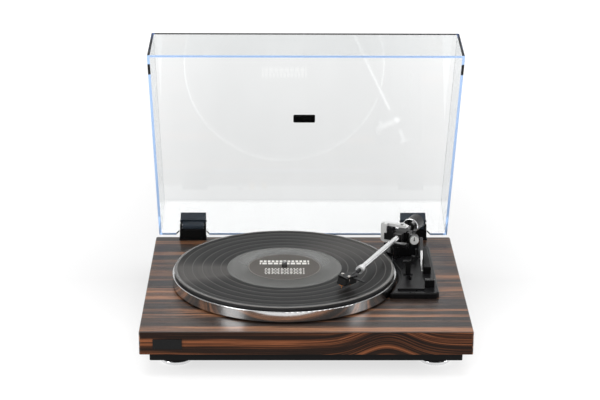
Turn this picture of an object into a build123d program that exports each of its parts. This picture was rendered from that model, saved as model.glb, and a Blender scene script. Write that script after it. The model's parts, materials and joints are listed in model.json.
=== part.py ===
from build123d import *
import math
import os

# Belt-drive turntable with an automatic arm, lid open and arm over a record.
# Millimetres. While it is drawn, X is 0 on the middle of the plinth, Y is 0 on its front face,
# and Z is 0 on the surface that it stands on. At the end it is moved to the middle of its own box.

# Plinth, skirt and feet
plinth_width = 430.0
plinth_depth = 362.7
plinth_height = 31.2
plinth_wall = 18.0
plinth_top = 12.0
plinth_corner = 2.5
skirt_height = 12.3
skirt_inset = 12.5
skirt_setback = 10.0
skirt_wall = 6.0
foot_height = 18.8
foot_radius = 20.8
foot_ring_height = 5.3
foot_ring_wall = 2.8
foot_ring_lift = 0.6
foot_span = 341.0
foot_setback = 55.0
bottom_plate_thickness = 3.0
vent_length = 60.0
vent_width = 4.0
vent_pitch = 10.0
vent_count = 6
bottom_screw_radius = 3.5
bottom_screw_head = 1.6
bottom_screw_inset = 14.0

# Front name plate, left bare
badge_width = 37.4
badge_height = 13.6
badge_thickness = 0.8
badge_from_left = 17.7
badge_drop = 9.9

# Platter and its drive
platter_x = -27.8
platter_y = 181.0
platter_radius = 153.0
platter_gap = 1.7
platter_height = 14.3
platter_plate = 4.5
platter_rim_wall = 6.0
window_radius = 17.0
window_orbit = 112.0
mat_radius = 147.5
mat_thickness = 3.2
mat_label_radius = 52.0
mat_label_depth = 0.4
spindle_radius = 3.58
spindle_tip_radius = 3.54
spindle_shaft_radius = 3.5
spindle_free = 7.6
spindle_dome = 1.8
running_clearance = 0.04
fit_clearance = 0.05
ring_radius = 77.0
ring_wall = 3.0
ring_drop = 8.5
ring_web = 3.0
hub_radius = 12.0
pinion_teeth = 20
pinion_radius = 13.2
tooth_height = 1.6
cam_teeth = 52
cam_radius = 26.2
cam_orbit = 44.0
cam_angle = -28.0
cam_thickness = 4.0
cam_gap = 2.5
bearing_radius = 11.0
bearing_flange_radius = 22.0
bearing_flange = 3.0
bearing_length = 30.0
bearing_floor = 3.0
ball_radius = 2.5

# Motor, pulley and belt
pulley_orbit = 105.0
pulley_angle = 138.0
pulley_radius = 6.0
pulley_flange_radius = 8.0
pulley_flange = 1.0
pulley_height = 8.0
pulley_gap = 2.5
motor_radius = 17.5
motor_height = 20.0
motor_plate_width = 62.0
motor_plate_depth = 30.0
motor_plate_thickness = 1.5
motor_shaft_radius = 1.0
motor_hole_radius = 9.5
grommet_height = 3.0
grommet_radius = 5.0
grommet_bore = 2.0
grommet_span = 48.0
belt_gap = 0.3
belt_thickness = 1.0
belt_height = 4.0

# Record
record_radius = 150.5
record_edge = 2.0
record_groove_drop = 0.25
record_lead_in = 4.5
record_bore_radius = 3.64
label_radius = 50.0
run_out_width = 28.5
label_thickness = 0.3

# Lid and hinges
lid_angle = 60.7
lid_half_width = 209.4
lid_depth = 358.0
lid_height = 66.0
lid_wall = 3.5
lid_draft = 2.0
lid_front_draft = 20.5
lid_edge = 1.2
lid_rest_gap = 0.8
lid_rear_inset = 0.7
hinge_height = 15.8
hinge_inset = 1.1
hinge_span = 321.5
hinge_block_width = 38.0
hinge_block_height = 14.3
hinge_cheek_radius = 5.2
hinge_throat = 5.1
hinge_block_depth = 10.0
hinge_flange_width = 39.4
hinge_flange_depth = 14.0
hinge_flange_height = 2.2
hinge_knuckle_radius = 4.6
hinge_knuckle_width = 31.0
hinge_side_gap = 0.4
hinge_pin_radius = 1.6
hinge_screw_radius = 1.1
hinge_screw_height = 0.5
notch_width = 39.5
notch_height = 24.5
notch_chamfer = 5.0
notch_flare = 4.0
notch_lip = 1.0
clip_height = 12.3
clip_width = 37.0
clip_wall = 2.0
bumper_length = 18.0
bumper_width = 3.4
bumper_thickness = 0.7
bumper_from_front = 16.0
lid_badge_width = 30.6
lid_badge_depth = 15.0
lid_badge_thickness = 0.8
lid_badge_back = 175.0

# Arm base, its plate, and what stands on it
base_left_from_rim = -16.2
base_right_from_rim = 54.8
base_front = 116.0
base_back = 305.0
base_height = 8.0
base_wall = 2.5
base_corner = 9.0
base_platter_gap = 2.2
plate_left_from_rim = -1.2
plate_right_from_rim = 35.8
plate_front = 127.0
plate_back = 254.0
plate_height = 2.5
plate_corner = 2.0
plate_platter_gap = 8.0
rail_left_from_rim = 38.0
rail_width = 10.5
rail_front = 190.0
rail_back = 266.0
rail_height = 9.8
rest_x_from_rim = 16.2
rest_y = 180.0
rest_foot_width = 13.0
rest_foot_depth = 5.0
rest_foot_height = 1.2
rest_stem_width = 7.0
rest_stem_depth = 5.0
rest_gap = 0.4
cradle_width = 15.0
cradle_depth = 6.0
cradle_floor = 3.0
cradle_lip = 3.4
clip_bar = 2.4
clip_reach = 5.0
clip_hook = 11.5
clip_pin_radius = 0.6

# Arm: pivot, tube, headshell and counterweight
pivot_x_from_rim = 14.3
pivot_y = 280.0
arm_height = 35.0
arm_yaw = 24.4
tower_disc_radius = 23.5
tower_disc_height = 2.8
tower_post_radius = 17.0
tower_top = 19.0
apron_front = 257.0
apron_depth = 5.0
apron_left_from_rim = -1.2
apron_step_from_rim = 22.8
apron_right_from_rim = 36.0
apron_low = 22.0
knob_x_from_rim = 29.4
knob_z = 34.4
knob_radius = 6.5
knob_depth = 5.0
knob_gap = 0.5
knob_stem_radius = 2.0
frame_left = 31.5
frame_right = 6.0
frame_limb = 6.0
frame_bar = 4.0
frame_depth = 7.0
frame_bottom = 20.0
frame_top = 48.5
frame_corner = 4.0
lug_left = 25.0
lug_width = 4.0
lug_depth = 3.0
lug_bottom = 35.5
bracket_half = 12.5
bracket_left = 25.4
bracket_wall = 3.0
bracket_floor = 2.0
bracket_top = 39.0
bracket_depth = 12.0
tilt_pin_radius = 1.2
pin_gap = 1.0
pin_reach = 5.0
yaw_shaft_radius = 3.0
yaw_shaft_drop = 16.0
crank_length = 14.0
crank_width = 6.0
crank_thickness = 3.0
screw_radius = 3.6
screw_height = 1.6
screw_slot = 0.8
carrier_half = 8.0
carrier_nose = 6.0
carrier_front = 21.0
carrier_step = 9.0
carrier_back = 12.0
carrier_low = 29.0
carrier_high = 40.0
stub_radius = 4.0
stub_back = 60.0
stub_in_carrier = 6.0
tube_radius = 3.8
tube_wall = 0.6
tube_in_carrier = 12.0
collar_start = 152.0
collar_end = 162.0
collar_radius = 5.4
collar_grip = 5.0
neck_grip = 4.0
neck_radius = 3.0
neck_end = 174.0
shell_stem_end = 186.0
shell_bend = 181.0
offset_angle = 26.3
shell_rear = 18.0
shell_front = 6.0
shell_width = 17.0
shell_thickness = 2.6
shell_top = 37.0
shell_tail = 4.0
shell_taper = 5.0
screw_line = 14.4
mount_screw_spacing = 12.7
mount_screw_radius = 1.3
mount_screw_head = 2.1
mount_screw_head_height = 1.4
mount_screw_gap = 0.1
finger_width = 3.2
finger_length = 21.0
finger_thickness = 1.2
finger_back = 7.0
cartridge_rear = 12.0
cartridge_front = 6.5
cartridge_width = 15.0
cartridge_height = 8.2
cartridge_nose = 3.0
cartridge_thread = 4.0
stylus_rear = 6.0
stylus_reach = 9.0
stylus_width = 6.5
stylus_height = 2.6
stylus_gap = 0.25
tip_radius = 0.5
tip_back = -7.5
weight_start = 34.0
weight_length = 24.0
weight_radius = 11.0
weight_ring_length = 3.0
weight_ring_proud = 0.6
sleeve_radius = 6.5

# Cue lever and the arc that lifts the arm
cue_x_from_rim = 38.0
cue_y = 216.5
cue_pivot_z = 1.5
cue_lean = 28.0
cue_rod_radius = 1.6
cue_rod_length = 29.0
cue_grip_radius = 2.1
cue_grip_length = 19.0
cue_axle_radius = 2.0
cue_axle_length = 12.0
cue_slot_width = 4.4
cue_cheek = 2.5
cue_slot_front = 200.0
cue_slot_back = 230.0
lift_orbit = 36.0
lift_width = 3.0
lift_thickness = 3.0
lift_gap = 0.5
lift_arc_from = -4.0
lift_arc_to = 47.0
lift_rod_radius = 2.2
lift_rod_yaw = 20.0
lift_rod_drop = 7.5

# Start and stop slider
start_x_from_rim = 43.0
start_front = 137.0
start_width = 13.0
start_depth = 8.0
start_height = 10.4
start_gap = 0.2
start_stem_width = 4.0
start_stem_drop = 6.0
start_travel = 30.0
start_slot_spare = 2.0

# Rear terminals and inner pieces
panel_left = -150.0
panel_width = 110.0
panel_height = 20.0
panel_drop = 6.0
panel_thickness = 2.0
panel_recess = 1.0
socket_radius = 4.15
socket_bore = 1.7
socket_length = 9.0
socket_flange_radius = 6.0
socket_flange = 1.5
socket_spacing = 18.0
socket_first = 18.0
inlet_radius = 5.0
inlet_bore = 2.75
inlet_depth = 9.0
inlet_from_left = 92.0
switch_from_left = 70.0
switch_width = 4.0
switch_height = 3.0
switch_proud = 2.5
switch_travel = 4.0
earth_from_left = 54.0
earth_post_radius = 2.0
earth_nut_radius = 4.5
earth_length = 10.0
speed_x_from_rim = 18.0
speed_y = 168.0
speed_width = 3.5
speed_depth = 4.0
speed_proud = 2.0
speed_drop = 4.0
speed_travel = 6.0
slide_gap = 0.3
board_width = 90.0
board_depth = 62.0
board_thickness = 1.6
board_x = 20.0
board_y = 275.0
board_standoff = 3.0
board_boss_radius = 2.5
capacitor_radius = 4.0
capacitor_height = 8.0
capacitor_pitch = 22.0

# Places across the deck, each from the platter's right edge
platter_right = platter_x + platter_radius
base_left = platter_right + base_left_from_rim
base_right = platter_right + base_right_from_rim
plate_left = platter_right + plate_left_from_rim
plate_right = platter_right + plate_right_from_rim
rail_left = platter_right + rail_left_from_rim
rest_x = platter_right + rest_x_from_rim
pivot_x = platter_right + pivot_x_from_rim
apron_left = platter_right + apron_left_from_rim
apron_step = platter_right + apron_step_from_rim
apron_right = platter_right + apron_right_from_rim
knob_x = platter_right + knob_x_from_rim
cue_x = platter_right + cue_x_from_rim
start_x = platter_right + start_x_from_rim
speed_x = platter_right + speed_x_from_rim

# Heights that follow from these
skirt_base = foot_height
plinth_base = skirt_base + skirt_height
deck = plinth_base + plinth_height
ceiling = deck - plinth_top
floor_inside = skirt_base + bottom_plate_thickness
platter_base = deck + platter_gap
platter_top = platter_base + platter_height
plate_under = platter_top - platter_plate
mat_top = platter_top + mat_thickness
record_base = mat_top
record_top = record_base + record_edge
base_top = deck + base_height
base_plate_top = base_top + plate_height
arm_z = deck + arm_height
hinge_y = plinth_depth - hinge_inset
hinge_z = deck + hinge_height
plinth_middle = (0, plinth_depth / 2)
platter_centre = (platter_x, platter_y)
pivot = (pivot_x, pivot_y)
foot_spots = [
    (side * foot_span / 2, y)
    for side in (-1, 1)
    for y in (foot_setback, plinth_depth - foot_setback)
]
hinge_sides = {"left": -hinge_span / 2, "right": hinge_span / 2}


def orbit(centre, radius, angle):
    """The point at that radius and angle, anticlockwise from +X, round a centre."""
    turn = math.radians(angle)
    return (centre[0] + radius * math.cos(turn), centre[1] + radius * math.sin(turn))


pulley_centre = orbit(platter_centre, pulley_orbit, pulley_angle)
cam_centre = orbit(platter_centre, cam_orbit, cam_angle)

# The arm is drawn on planes turned with it: local X is to its right, local Y is towards its
# counterweight, and the origin is on the pivot. The headshell's plane is turned by the offset.
arm_turn = math.radians(arm_yaw)
arm_right = (math.cos(arm_turn), -math.sin(arm_turn), 0)
arm_back = (math.sin(arm_turn), math.cos(arm_turn), 0)
shell_turn = math.radians(arm_yaw + offset_angle)
shell_right = (math.cos(shell_turn), -math.sin(shell_turn), 0)
shell_back = (math.sin(shell_turn), math.cos(shell_turn), 0)


def arm_plane(height):
    """A level plane at a height over the deck, turned with the arm."""
    return Plane(origin=(pivot_x, pivot_y, deck + height), x_dir=arm_right, z_dir=(0, 0, 1))


def along_arm(back):
    """A plane square to the tube, so far behind the pivot, whose normal points back."""
    start = [pivot_x + arm_back[0] * back, pivot_y + arm_back[1] * back, arm_z]
    return Plane(origin=start, x_dir=arm_right, z_dir=arm_back)


screw_line_back = screw_line * math.cos(math.radians(offset_angle)) + shell_bend
screw_line_side = -screw_line * math.sin(math.radians(offset_angle))
shell_x = pivot_x - arm_back[0] * screw_line_back + arm_right[0] * screw_line_side
shell_y = pivot_y - arm_back[1] * screw_line_back + arm_right[1] * screw_line_side


def shell_plane(height):
    """A level plane at a height over the deck, turned with the headshell, on its screw line."""
    return Plane(origin=(shell_x, shell_y, deck + height), x_dir=shell_right, z_dir=(0, 0, 1))


# The lid is drawn as if shut on a plane through the hinge axis, which is turned by the angle it
# stands open at: local X is across, local Y is towards the back and local Z is up.
lid_turn = math.radians(lid_angle)
lid_up = (0, math.sin(lid_turn), math.cos(lid_turn))
lid_base = lid_rest_gap - hinge_height
lid_back = hinge_inset - lid_rear_inset


def lid_plane(height):
    """A plane of the open lid, so far over its rim."""
    axis = Plane(origin=(0, hinge_y, hinge_z), x_dir=(1, 0, 0), z_dir=lid_up)
    return axis.offset(lid_base + height)


pieces = {}


def keep(name, builder):
    """Labels a finished piece and keeps it for the export."""
    builder.part.label = name
    pieces[name] = builder.part


# Plinth: a veneered box, open below
inner_width = plinth_width - 2 * plinth_wall
inner_depth = plinth_depth - 2 * plinth_wall
panel_middle = (panel_left + panel_width / 2, deck - panel_drop - panel_height / 2)
cue_middle = (cue_x, (cue_slot_front + cue_slot_back) / 2)
cue_slot_length = cue_slot_back - cue_slot_front
start_slot_front = start_front + start_depth / 2 - start_stem_width / 2 - start_slot_spare
start_slot_length = start_travel + start_stem_width + 2 * start_slot_spare
start_middle = (start_x, start_slot_front + start_slot_length / 2)
start_slot_width = start_stem_width + 2 * slide_gap
well_front = 128.0
well_back = 296.0
well_left = 128.0
well_right = 174.0
board_top = ceiling - board_standoff
board_spots = [
    (board_x + sx * (board_width / 2 - 5), board_y + sy * (board_depth / 2 - 5))
    for sx in (-1, 1)
    for sy in (-1, 1)
]
with BuildPart() as plinth:
    with BuildSketch(Plane.XY.offset(plinth_base)):
        with Locations(plinth_middle):
            RectangleRounded(plinth_width, plinth_depth, plinth_corner)
    extrude(amount=plinth_height)
    fillet(plinth.faces().sort_by(Axis.Z)[-1].edges(), plinth_corner * 0.6)
    with BuildSketch(Plane.XY.offset(plinth_base)):
        with Locations(plinth_middle):
            Rectangle(inner_width, inner_depth)
    extrude(amount=plinth_height - plinth_top, mode=Mode.SUBTRACT)
    with BuildSketch(Plane.XY.offset(ceiling)):
        with Locations(platter_centre):
            Circle(bearing_radius + 1)
        with Locations(pulley_centre):
            Circle(motor_hole_radius)
        with Locations(((well_left + well_right) / 2, (well_front + well_back) / 2)):
            Rectangle(well_right - well_left, well_back - well_front)
    extrude(amount=plinth_top, mode=Mode.SUBTRACT)
    with BuildSketch(Plane.XZ.offset(-plinth_depth)):
        with Locations(panel_middle):
            Rectangle(panel_width, panel_height)
    extrude(amount=plinth_wall, mode=Mode.SUBTRACT)
    with BuildSketch(Plane.XY.offset(ceiling)):
        with Locations(board_spots):
            Circle(board_boss_radius)
    extrude(amount=-board_standoff)
keep("plinth", plinth)

# Skirt: the black frame between the plinth and the feet
skirt_width = plinth_width - 2 * skirt_inset
skirt_depth = plinth_depth - 2 * skirt_setback
with BuildPart() as base_skirt:
    with BuildSketch(Plane.XY.offset(skirt_base)):
        with Locations(plinth_middle):
            RectangleRounded(skirt_width, skirt_depth, plinth_corner)
            Rectangle(skirt_width - 2 * skirt_wall, skirt_depth - 2 * skirt_wall, mode=Mode.SUBTRACT)
    extrude(amount=skirt_height)
keep("base_skirt", base_skirt)

# Bottom plate, with vent slots and its screws
bottom_width = skirt_width - 2 * skirt_wall - 2 * fit_clearance
bottom_depth = skirt_depth - 2 * skirt_wall - 2 * fit_clearance
bottom_spots = [
    (x, plinth_depth / 2 + y)
    for x in (bottom_screw_inset - bottom_width / 2, 0, bottom_width / 2 - bottom_screw_inset)
    for y in (bottom_screw_inset - bottom_depth / 2, bottom_depth / 2 - bottom_screw_inset)
]
with BuildPart() as bottom_plate:
    with BuildSketch(Plane.XY.offset(skirt_base)):
        with Locations(plinth_middle):
            Rectangle(bottom_width, bottom_depth)
            with GridLocations(vent_length * 2, vent_pitch, 2, vent_count):
                SlotOverall(vent_length, vent_width, mode=Mode.SUBTRACT)
        with Locations(bottom_spots):
            Circle(bottom_screw_radius / 2 + fit_clearance, mode=Mode.SUBTRACT)
    extrude(amount=bottom_plate_thickness)
keep("bottom_plate", bottom_plate)

with BuildPart() as bottom_screws:
    with BuildSketch(Plane.XY.offset(skirt_base)):
        with Locations(bottom_spots):
            Circle(bottom_screw_radius)
    extrude(amount=-bottom_screw_head)
    with BuildSketch(Plane.XY.offset(skirt_base)):
        with Locations(bottom_spots):
            Circle(bottom_screw_radius / 2)
    extrude(amount=bottom_plate_thickness + bottom_screw_head)
keep("bottom_screws", bottom_screws)

# Feet: black housing and bright ring
foot_core = foot_radius - foot_ring_wall
ring_top = foot_ring_lift + foot_ring_height
with BuildPart() as foot_housings:
    with BuildSketch():
        with Locations(foot_spots):
            Circle(foot_core - fit_clearance)
    extrude(amount=foot_height)
    with BuildSketch(Plane.XY.offset(ring_top)):
        with Locations(foot_spots):
            Circle(foot_radius - 1)
    extrude(amount=foot_height - ring_top)
keep("foot_housings", foot_housings)

with BuildPart() as foot_rings:
    with BuildSketch(Plane.XY.offset(foot_ring_lift)):
        with Locations(foot_spots):
            Circle(foot_radius)
            Circle(foot_core, mode=Mode.SUBTRACT)
    extrude(amount=foot_ring_height)
    chamfer(foot_rings.edges().filter_by(GeomType.CIRCLE).group_by(SortBy.RADIUS)[-1], 0.5)
keep("foot_rings", foot_rings)

# Front name plate
badge_middle = (
    badge_from_left + badge_width / 2 - plinth_width / 2,
    deck - badge_drop - badge_height / 2,
)
with BuildPart() as front_badge:
    with BuildSketch(Plane.XZ):
        with Locations(badge_middle):
            RectangleRounded(badge_width, badge_height, 0.8)
    extrude(amount=badge_thickness)
keep("front_badge", front_badge)

# Main bearing under the platter, with the ball that carries the spindle
bearing_foot = deck - bearing_length
with BuildPart() as bearing_housing:
    with BuildSketch(Plane.XY.offset(bearing_foot)):
        with Locations(platter_centre):
            Circle(bearing_radius)
    extrude(amount=bearing_length)
    with BuildSketch(Plane.XY.offset(ceiling)):
        with Locations(platter_centre):
            Circle(bearing_flange_radius)
    extrude(amount=-bearing_flange)
    with BuildSketch(Plane.XY.offset(bearing_foot + bearing_floor)):
        with Locations(platter_centre):
            Circle(spindle_shaft_radius + running_clearance)
    extrude(amount=bearing_length, mode=Mode.SUBTRACT)
keep("bearing_housing", bearing_housing)

ball_z = bearing_foot + bearing_floor + ball_radius
with BuildPart() as thrust_ball:
    with Locations((platter_x, platter_y, ball_z)):
        Sphere(ball_radius)
keep("thrust_ball", thrust_ball)

# Spindle: shaft in the bearing, and the free end that centres the record
with BuildPart() as spindle:
    with BuildSketch(Plane.XY.offset(ball_z + ball_radius + fit_clearance)):
        with Locations(platter_centre):
            Circle(spindle_shaft_radius)
    extrude(amount=plate_under - ball_z - ball_radius - fit_clearance)
    with BuildSketch(Plane.XY.offset(plate_under)):
        with Locations(platter_centre):
            Circle(spindle_radius)
    extrude(amount=record_top + label_thickness - plate_under)
    with BuildSketch(Plane.XY.offset(record_top + label_thickness)):
        with Locations(platter_centre):
            Circle(spindle_tip_radius)
    extrude(amount=spindle_free - label_thickness)
    fillet(spindle.faces().sort_by(Axis.Z)[-1].edges(), spindle_dome)
keep("spindle", spindle)

# Platter: cast plate and rim, with two windows over the pulley
rim_inner = platter_radius - platter_rim_wall
with BuildPart() as platter:
    with BuildSketch(Plane.XY.offset(plate_under)):
        with Locations(platter_centre):
            Circle(platter_radius)
            Circle(spindle_radius + fit_clearance, mode=Mode.SUBTRACT)
            with PolarLocations(window_orbit, 2, pulley_angle):
                Circle(window_radius, mode=Mode.SUBTRACT)
    extrude(amount=platter_plate)
    with BuildSketch(Plane.XY.offset(platter_base)):
        with Locations(platter_centre):
            Circle(platter_radius)
            Circle(rim_inner, mode=Mode.SUBTRACT)
    extrude(amount=platter_height)
    rim_edges = platter.edges().filter_by(GeomType.CIRCLE).group_by(SortBy.RADIUS)[-1]
    fillet(rim_edges, 0.9)
keep("platter", platter)

with BuildPart() as platter_mat:
    with BuildSketch(Plane.XY.offset(platter_top)):
        with Locations(platter_centre):
            Circle(mat_radius)
            Circle(spindle_radius + fit_clearance, mode=Mode.SUBTRACT)
    extrude(amount=mat_thickness)
    with BuildSketch(Plane.XY.offset(mat_top)):
        with Locations(platter_centre):
            Circle(mat_label_radius)
    extrude(amount=-mat_label_depth, mode=Mode.SUBTRACT)
keep("platter_mat", platter_mat)

# Drive ring: the belt's track and the small gear that turns the automatic
with BuildPart() as drive_ring:
    with BuildSketch(Plane.XY.offset(plate_under - ring_web)):
        with Locations(platter_centre):
            Circle(ring_radius)
            Circle(spindle_shaft_radius + fit_clearance, mode=Mode.SUBTRACT)
    extrude(amount=ring_web)
    with BuildSketch(Plane.XY.offset(plate_under - ring_drop)):
        with Locations(platter_centre):
            Circle(ring_radius)
            Circle(ring_radius - ring_wall, mode=Mode.SUBTRACT)
    extrude(amount=ring_drop)
    with BuildSketch(Plane.XY.offset(deck + cam_gap)):
        with Locations(platter_centre):
            Circle(pinion_radius)
            with PolarLocations(pinion_radius, pinion_teeth):
                Rectangle(tooth_height * 2, tooth_height)
            Circle(spindle_shaft_radius + fit_clearance, mode=Mode.SUBTRACT)
    extrude(amount=plate_under - ring_web - deck - cam_gap)
keep("drive_ring", drive_ring)

# Cam gear of the automatic, parked with its gap in the teeth facing the small gear
park_radius = pinion_radius + tooth_height + 0.8
with BuildPart() as cam_gear:
    with BuildSketch(Plane.XY.offset(deck + cam_gap)):
        with Locations(cam_centre):
            Circle(cam_radius)
            with PolarLocations(cam_radius, cam_teeth):
                Rectangle(tooth_height * 2, tooth_height)
            Circle(motor_shaft_radius * 2, mode=Mode.SUBTRACT)
        with Locations(platter_centre):
            Circle(park_radius, mode=Mode.SUBTRACT)
    extrude(amount=cam_thickness)
    with BuildSketch(Plane.XY.offset(deck)):
        with Locations(cam_centre):
            Circle(motor_shaft_radius * 4)
    extrude(amount=cam_gap)
keep("cam_gear", cam_gear)

# Record and its paper label
groove_inner = label_radius + run_out_width
groove_outer = record_radius - record_lead_in
with BuildPart() as record:
    with BuildSketch(Plane.XY.offset(record_base)):
        with Locations(platter_centre):
            Circle(record_radius)
            Circle(record_bore_radius, mode=Mode.SUBTRACT)
    extrude(amount=record_edge)
    with BuildSketch(Plane.XY.offset(record_top)):
        with Locations(platter_centre):
            Circle(groove_outer)
            Circle(label_radius + 1, mode=Mode.SUBTRACT)
    extrude(amount=-record_groove_drop, mode=Mode.SUBTRACT)
    fillet(record.edges().filter_by(GeomType.CIRCLE).group_by(SortBy.RADIUS)[-1], 0.7)
keep("record", record)

with BuildPart() as record_label:
    with BuildSketch(Plane.XY.offset(record_top)):
        with Locations(platter_centre):
            Circle(label_radius)
            Circle(record_bore_radius, mode=Mode.SUBTRACT)
    extrude(amount=label_thickness)
keep("record_label", record_label)

# Motor, hung from the plinth's top on soft grommets
motor_plate_top = ceiling - grommet_height
grommet_spots = [(pulley_centre[0] + side * grommet_span / 2, pulley_centre[1]) for side in (-1, 1)]
with BuildPart() as motor:
    with BuildSketch(Plane.XY.offset(motor_plate_top)):
        with Locations(pulley_centre):
            RectangleRounded(motor_plate_width, motor_plate_depth, 4)
        with Locations(grommet_spots):
            Circle(grommet_bore, mode=Mode.SUBTRACT)
    extrude(amount=-motor_plate_thickness)
    with BuildSketch(Plane.XY.offset(motor_plate_top - motor_plate_thickness)):
        with Locations(pulley_centre):
            Circle(motor_radius)
    extrude(amount=-motor_height)
    fillet(motor.faces().sort_by(Axis.Z)[0].edges(), 1.5)
    with BuildSketch(Plane.XY.offset(motor_plate_top)):
        with Locations(pulley_centre):
            Circle(motor_shaft_radius + running_clearance)
    extrude(amount=-motor_height / 2, mode=Mode.SUBTRACT)
keep("motor", motor)

with BuildPart() as motor_grommets:
    with BuildSketch(Plane.XY.offset(motor_plate_top)):
        with Locations(grommet_spots):
            Circle(grommet_radius)
            Circle(grommet_bore, mode=Mode.SUBTRACT)
    extrude(amount=grommet_height)
keep("motor_grommets", motor_grommets)

pulley_base = deck + pulley_gap
shaft_foot = motor_plate_top - motor_height / 2 + 1
with BuildPart() as motor_pulley:
    with BuildSketch(Plane.XY.offset(pulley_base)):
        with Locations(pulley_centre):
            Circle(pulley_flange_radius)
    extrude(amount=pulley_height)
    with BuildSketch(Plane.XY.offset(pulley_base + pulley_flange)):
        with Locations(pulley_centre):
            Circle(pulley_flange_radius)
            Circle(pulley_radius, mode=Mode.SUBTRACT)
    extrude(amount=pulley_height - 2 * pulley_flange, mode=Mode.SUBTRACT)
    with BuildSketch(Plane.XY.offset(shaft_foot)):
        with Locations(pulley_centre):
            Circle(motor_shaft_radius)
    extrude(amount=pulley_base - shaft_foot)
keep("motor_pulley", motor_pulley)


def belt_outline(extra):
    """The closed line round the drive ring and the pulley, so far out from both."""
    with BuildSketch() as outline:
        with BuildLine():
            CenterArc(platter_centre, ring_radius + extra, 0, 360)
            CenterArc(pulley_centre, pulley_radius + extra, 0, 360)
        make_hull()
    return outline.sketch


belt_base = pulley_base + pulley_height / 2 - belt_height / 2
with BuildPart() as drive_belt:
    with BuildSketch(Plane.XY.offset(belt_base)):
        add(belt_outline(belt_gap + belt_thickness))
        add(belt_outline(belt_gap), mode=Mode.SUBTRACT)
    extrude(amount=belt_height)
keep("drive_belt", drive_belt)

# Lid: one clear moulding with a sloping front, notched round each hinge

def lid_front(inset, height):
    """How far the front of the lid's level section is from its back at the rim."""
    return lid_depth - height / lid_height * lid_front_draft - inset


def lid_rear(inset, height):
    """How far the back of the lid's level section is from its back at the rim."""
    return height / lid_height * lid_draft + inset


def lid_spot(inset, height):
    """The middle of the lid's level section."""
    return (0, lid_back - (lid_front(inset, height) + lid_rear(inset, height)) / 2)


def lid_size(inset, height):
    """The width and depth of the lid's level section, drawn in by an inset on every side."""
    half = lid_half_width - height / lid_height * lid_draft - inset
    return (half * 2, lid_front(inset, height) - lid_rear(inset, height))


# The notches are cut from behind: across and height over the rim, flared at the rim
lid_rear_plane = Plane(
    origin=(0, hinge_y, hinge_z),
    x_dir=(1, 0, 0),
    z_dir=(0, math.cos(lid_turn), -math.sin(lid_turn)),
)
notch_side = [
    (notch_width / 2, notch_height),
    (notch_width / 2, notch_lip + notch_chamfer),
    (notch_width / 2 + notch_flare, notch_lip),
    (notch_width / 2 + notch_flare, -lid_wall),
]
notch_corners = notch_side + [(-across, height) for across, height in reversed(notch_side)]


def notch_point(middle, across, height):
    """A corner of a notch on the plane behind the lid, whose local Y points down."""
    return (middle + across, -lid_base - height)


with BuildPart() as lid:
    for height in (0, lid_height):
        with BuildSketch(lid_plane(height)):
            with Locations(lid_spot(0, height)):
                Rectangle(*lid_size(0, height))
    loft(ruled=True)
    upright = Axis(origin=(0, hinge_y, hinge_z), direction=lid_up)
    fillet(lid.edges().sort_by(upright)[4:], lid_edge)
    for height in (0, lid_height - lid_wall):
        with BuildSketch(lid_plane(height)):
            with Locations(lid_spot(lid_wall, height)):
                Rectangle(*lid_size(lid_wall, height))
    loft(ruled=True, mode=Mode.SUBTRACT)
    for middle in hinge_sides.values():
        with BuildSketch(lid_rear_plane):
            with BuildLine():
                Polyline(*[notch_point(middle, *corner) for corner in notch_corners], close=True)
            make_face()
        extrude(amount=2 * lid_wall, both=True, mode=Mode.SUBTRACT)
keep("lid", lid)

# Upper hinge leaves: they grip the lid's back wall over the notches and turn on the pins
wall_outer = lid_back - lid_draft * notch_height / lid_height
clip_inner = lid_back - lid_draft - lid_wall - fit_clearance
clip_outer = lid_back + fit_clearance
with BuildPart() as lid_clips:
    for middle in hinge_sides.values():
        with BuildSketch(lid_plane(notch_height - clip_wall)):
            with Locations((middle, (clip_inner + clip_outer) / 2)):
                Rectangle(clip_width, clip_outer - clip_inner + 2 * clip_wall)
        extrude(amount=clip_height + clip_wall)
        with BuildSketch(lid_plane(notch_height)):
            with Locations((middle, (clip_inner + clip_outer) / 2)):
                Rectangle(clip_width + 1, clip_outer - clip_inner)
        extrude(amount=clip_height, mode=Mode.SUBTRACT)
        with BuildSketch(Plane.YZ.offset(middle - hinge_knuckle_width / 2)):
            with Locations((hinge_y, hinge_z)):
                Circle(hinge_knuckle_radius)
        extrude(amount=hinge_knuckle_width)
        with BuildSketch(lid_plane(hinge_height - lid_rest_gap)):
            with Locations((middle, 0)):
                Rectangle(hinge_knuckle_width, 2 * hinge_knuckle_radius)
        extrude(amount=notch_height - clip_wall - hinge_height + lid_rest_gap)
        with BuildSketch(Plane.YZ.offset(middle - hinge_knuckle_width / 2)):
            with Locations((hinge_y, hinge_z)):
                Circle(hinge_pin_radius + running_clearance)
        extrude(amount=hinge_knuckle_width, mode=Mode.SUBTRACT)
keep("lid_clips", lid_clips)

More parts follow.
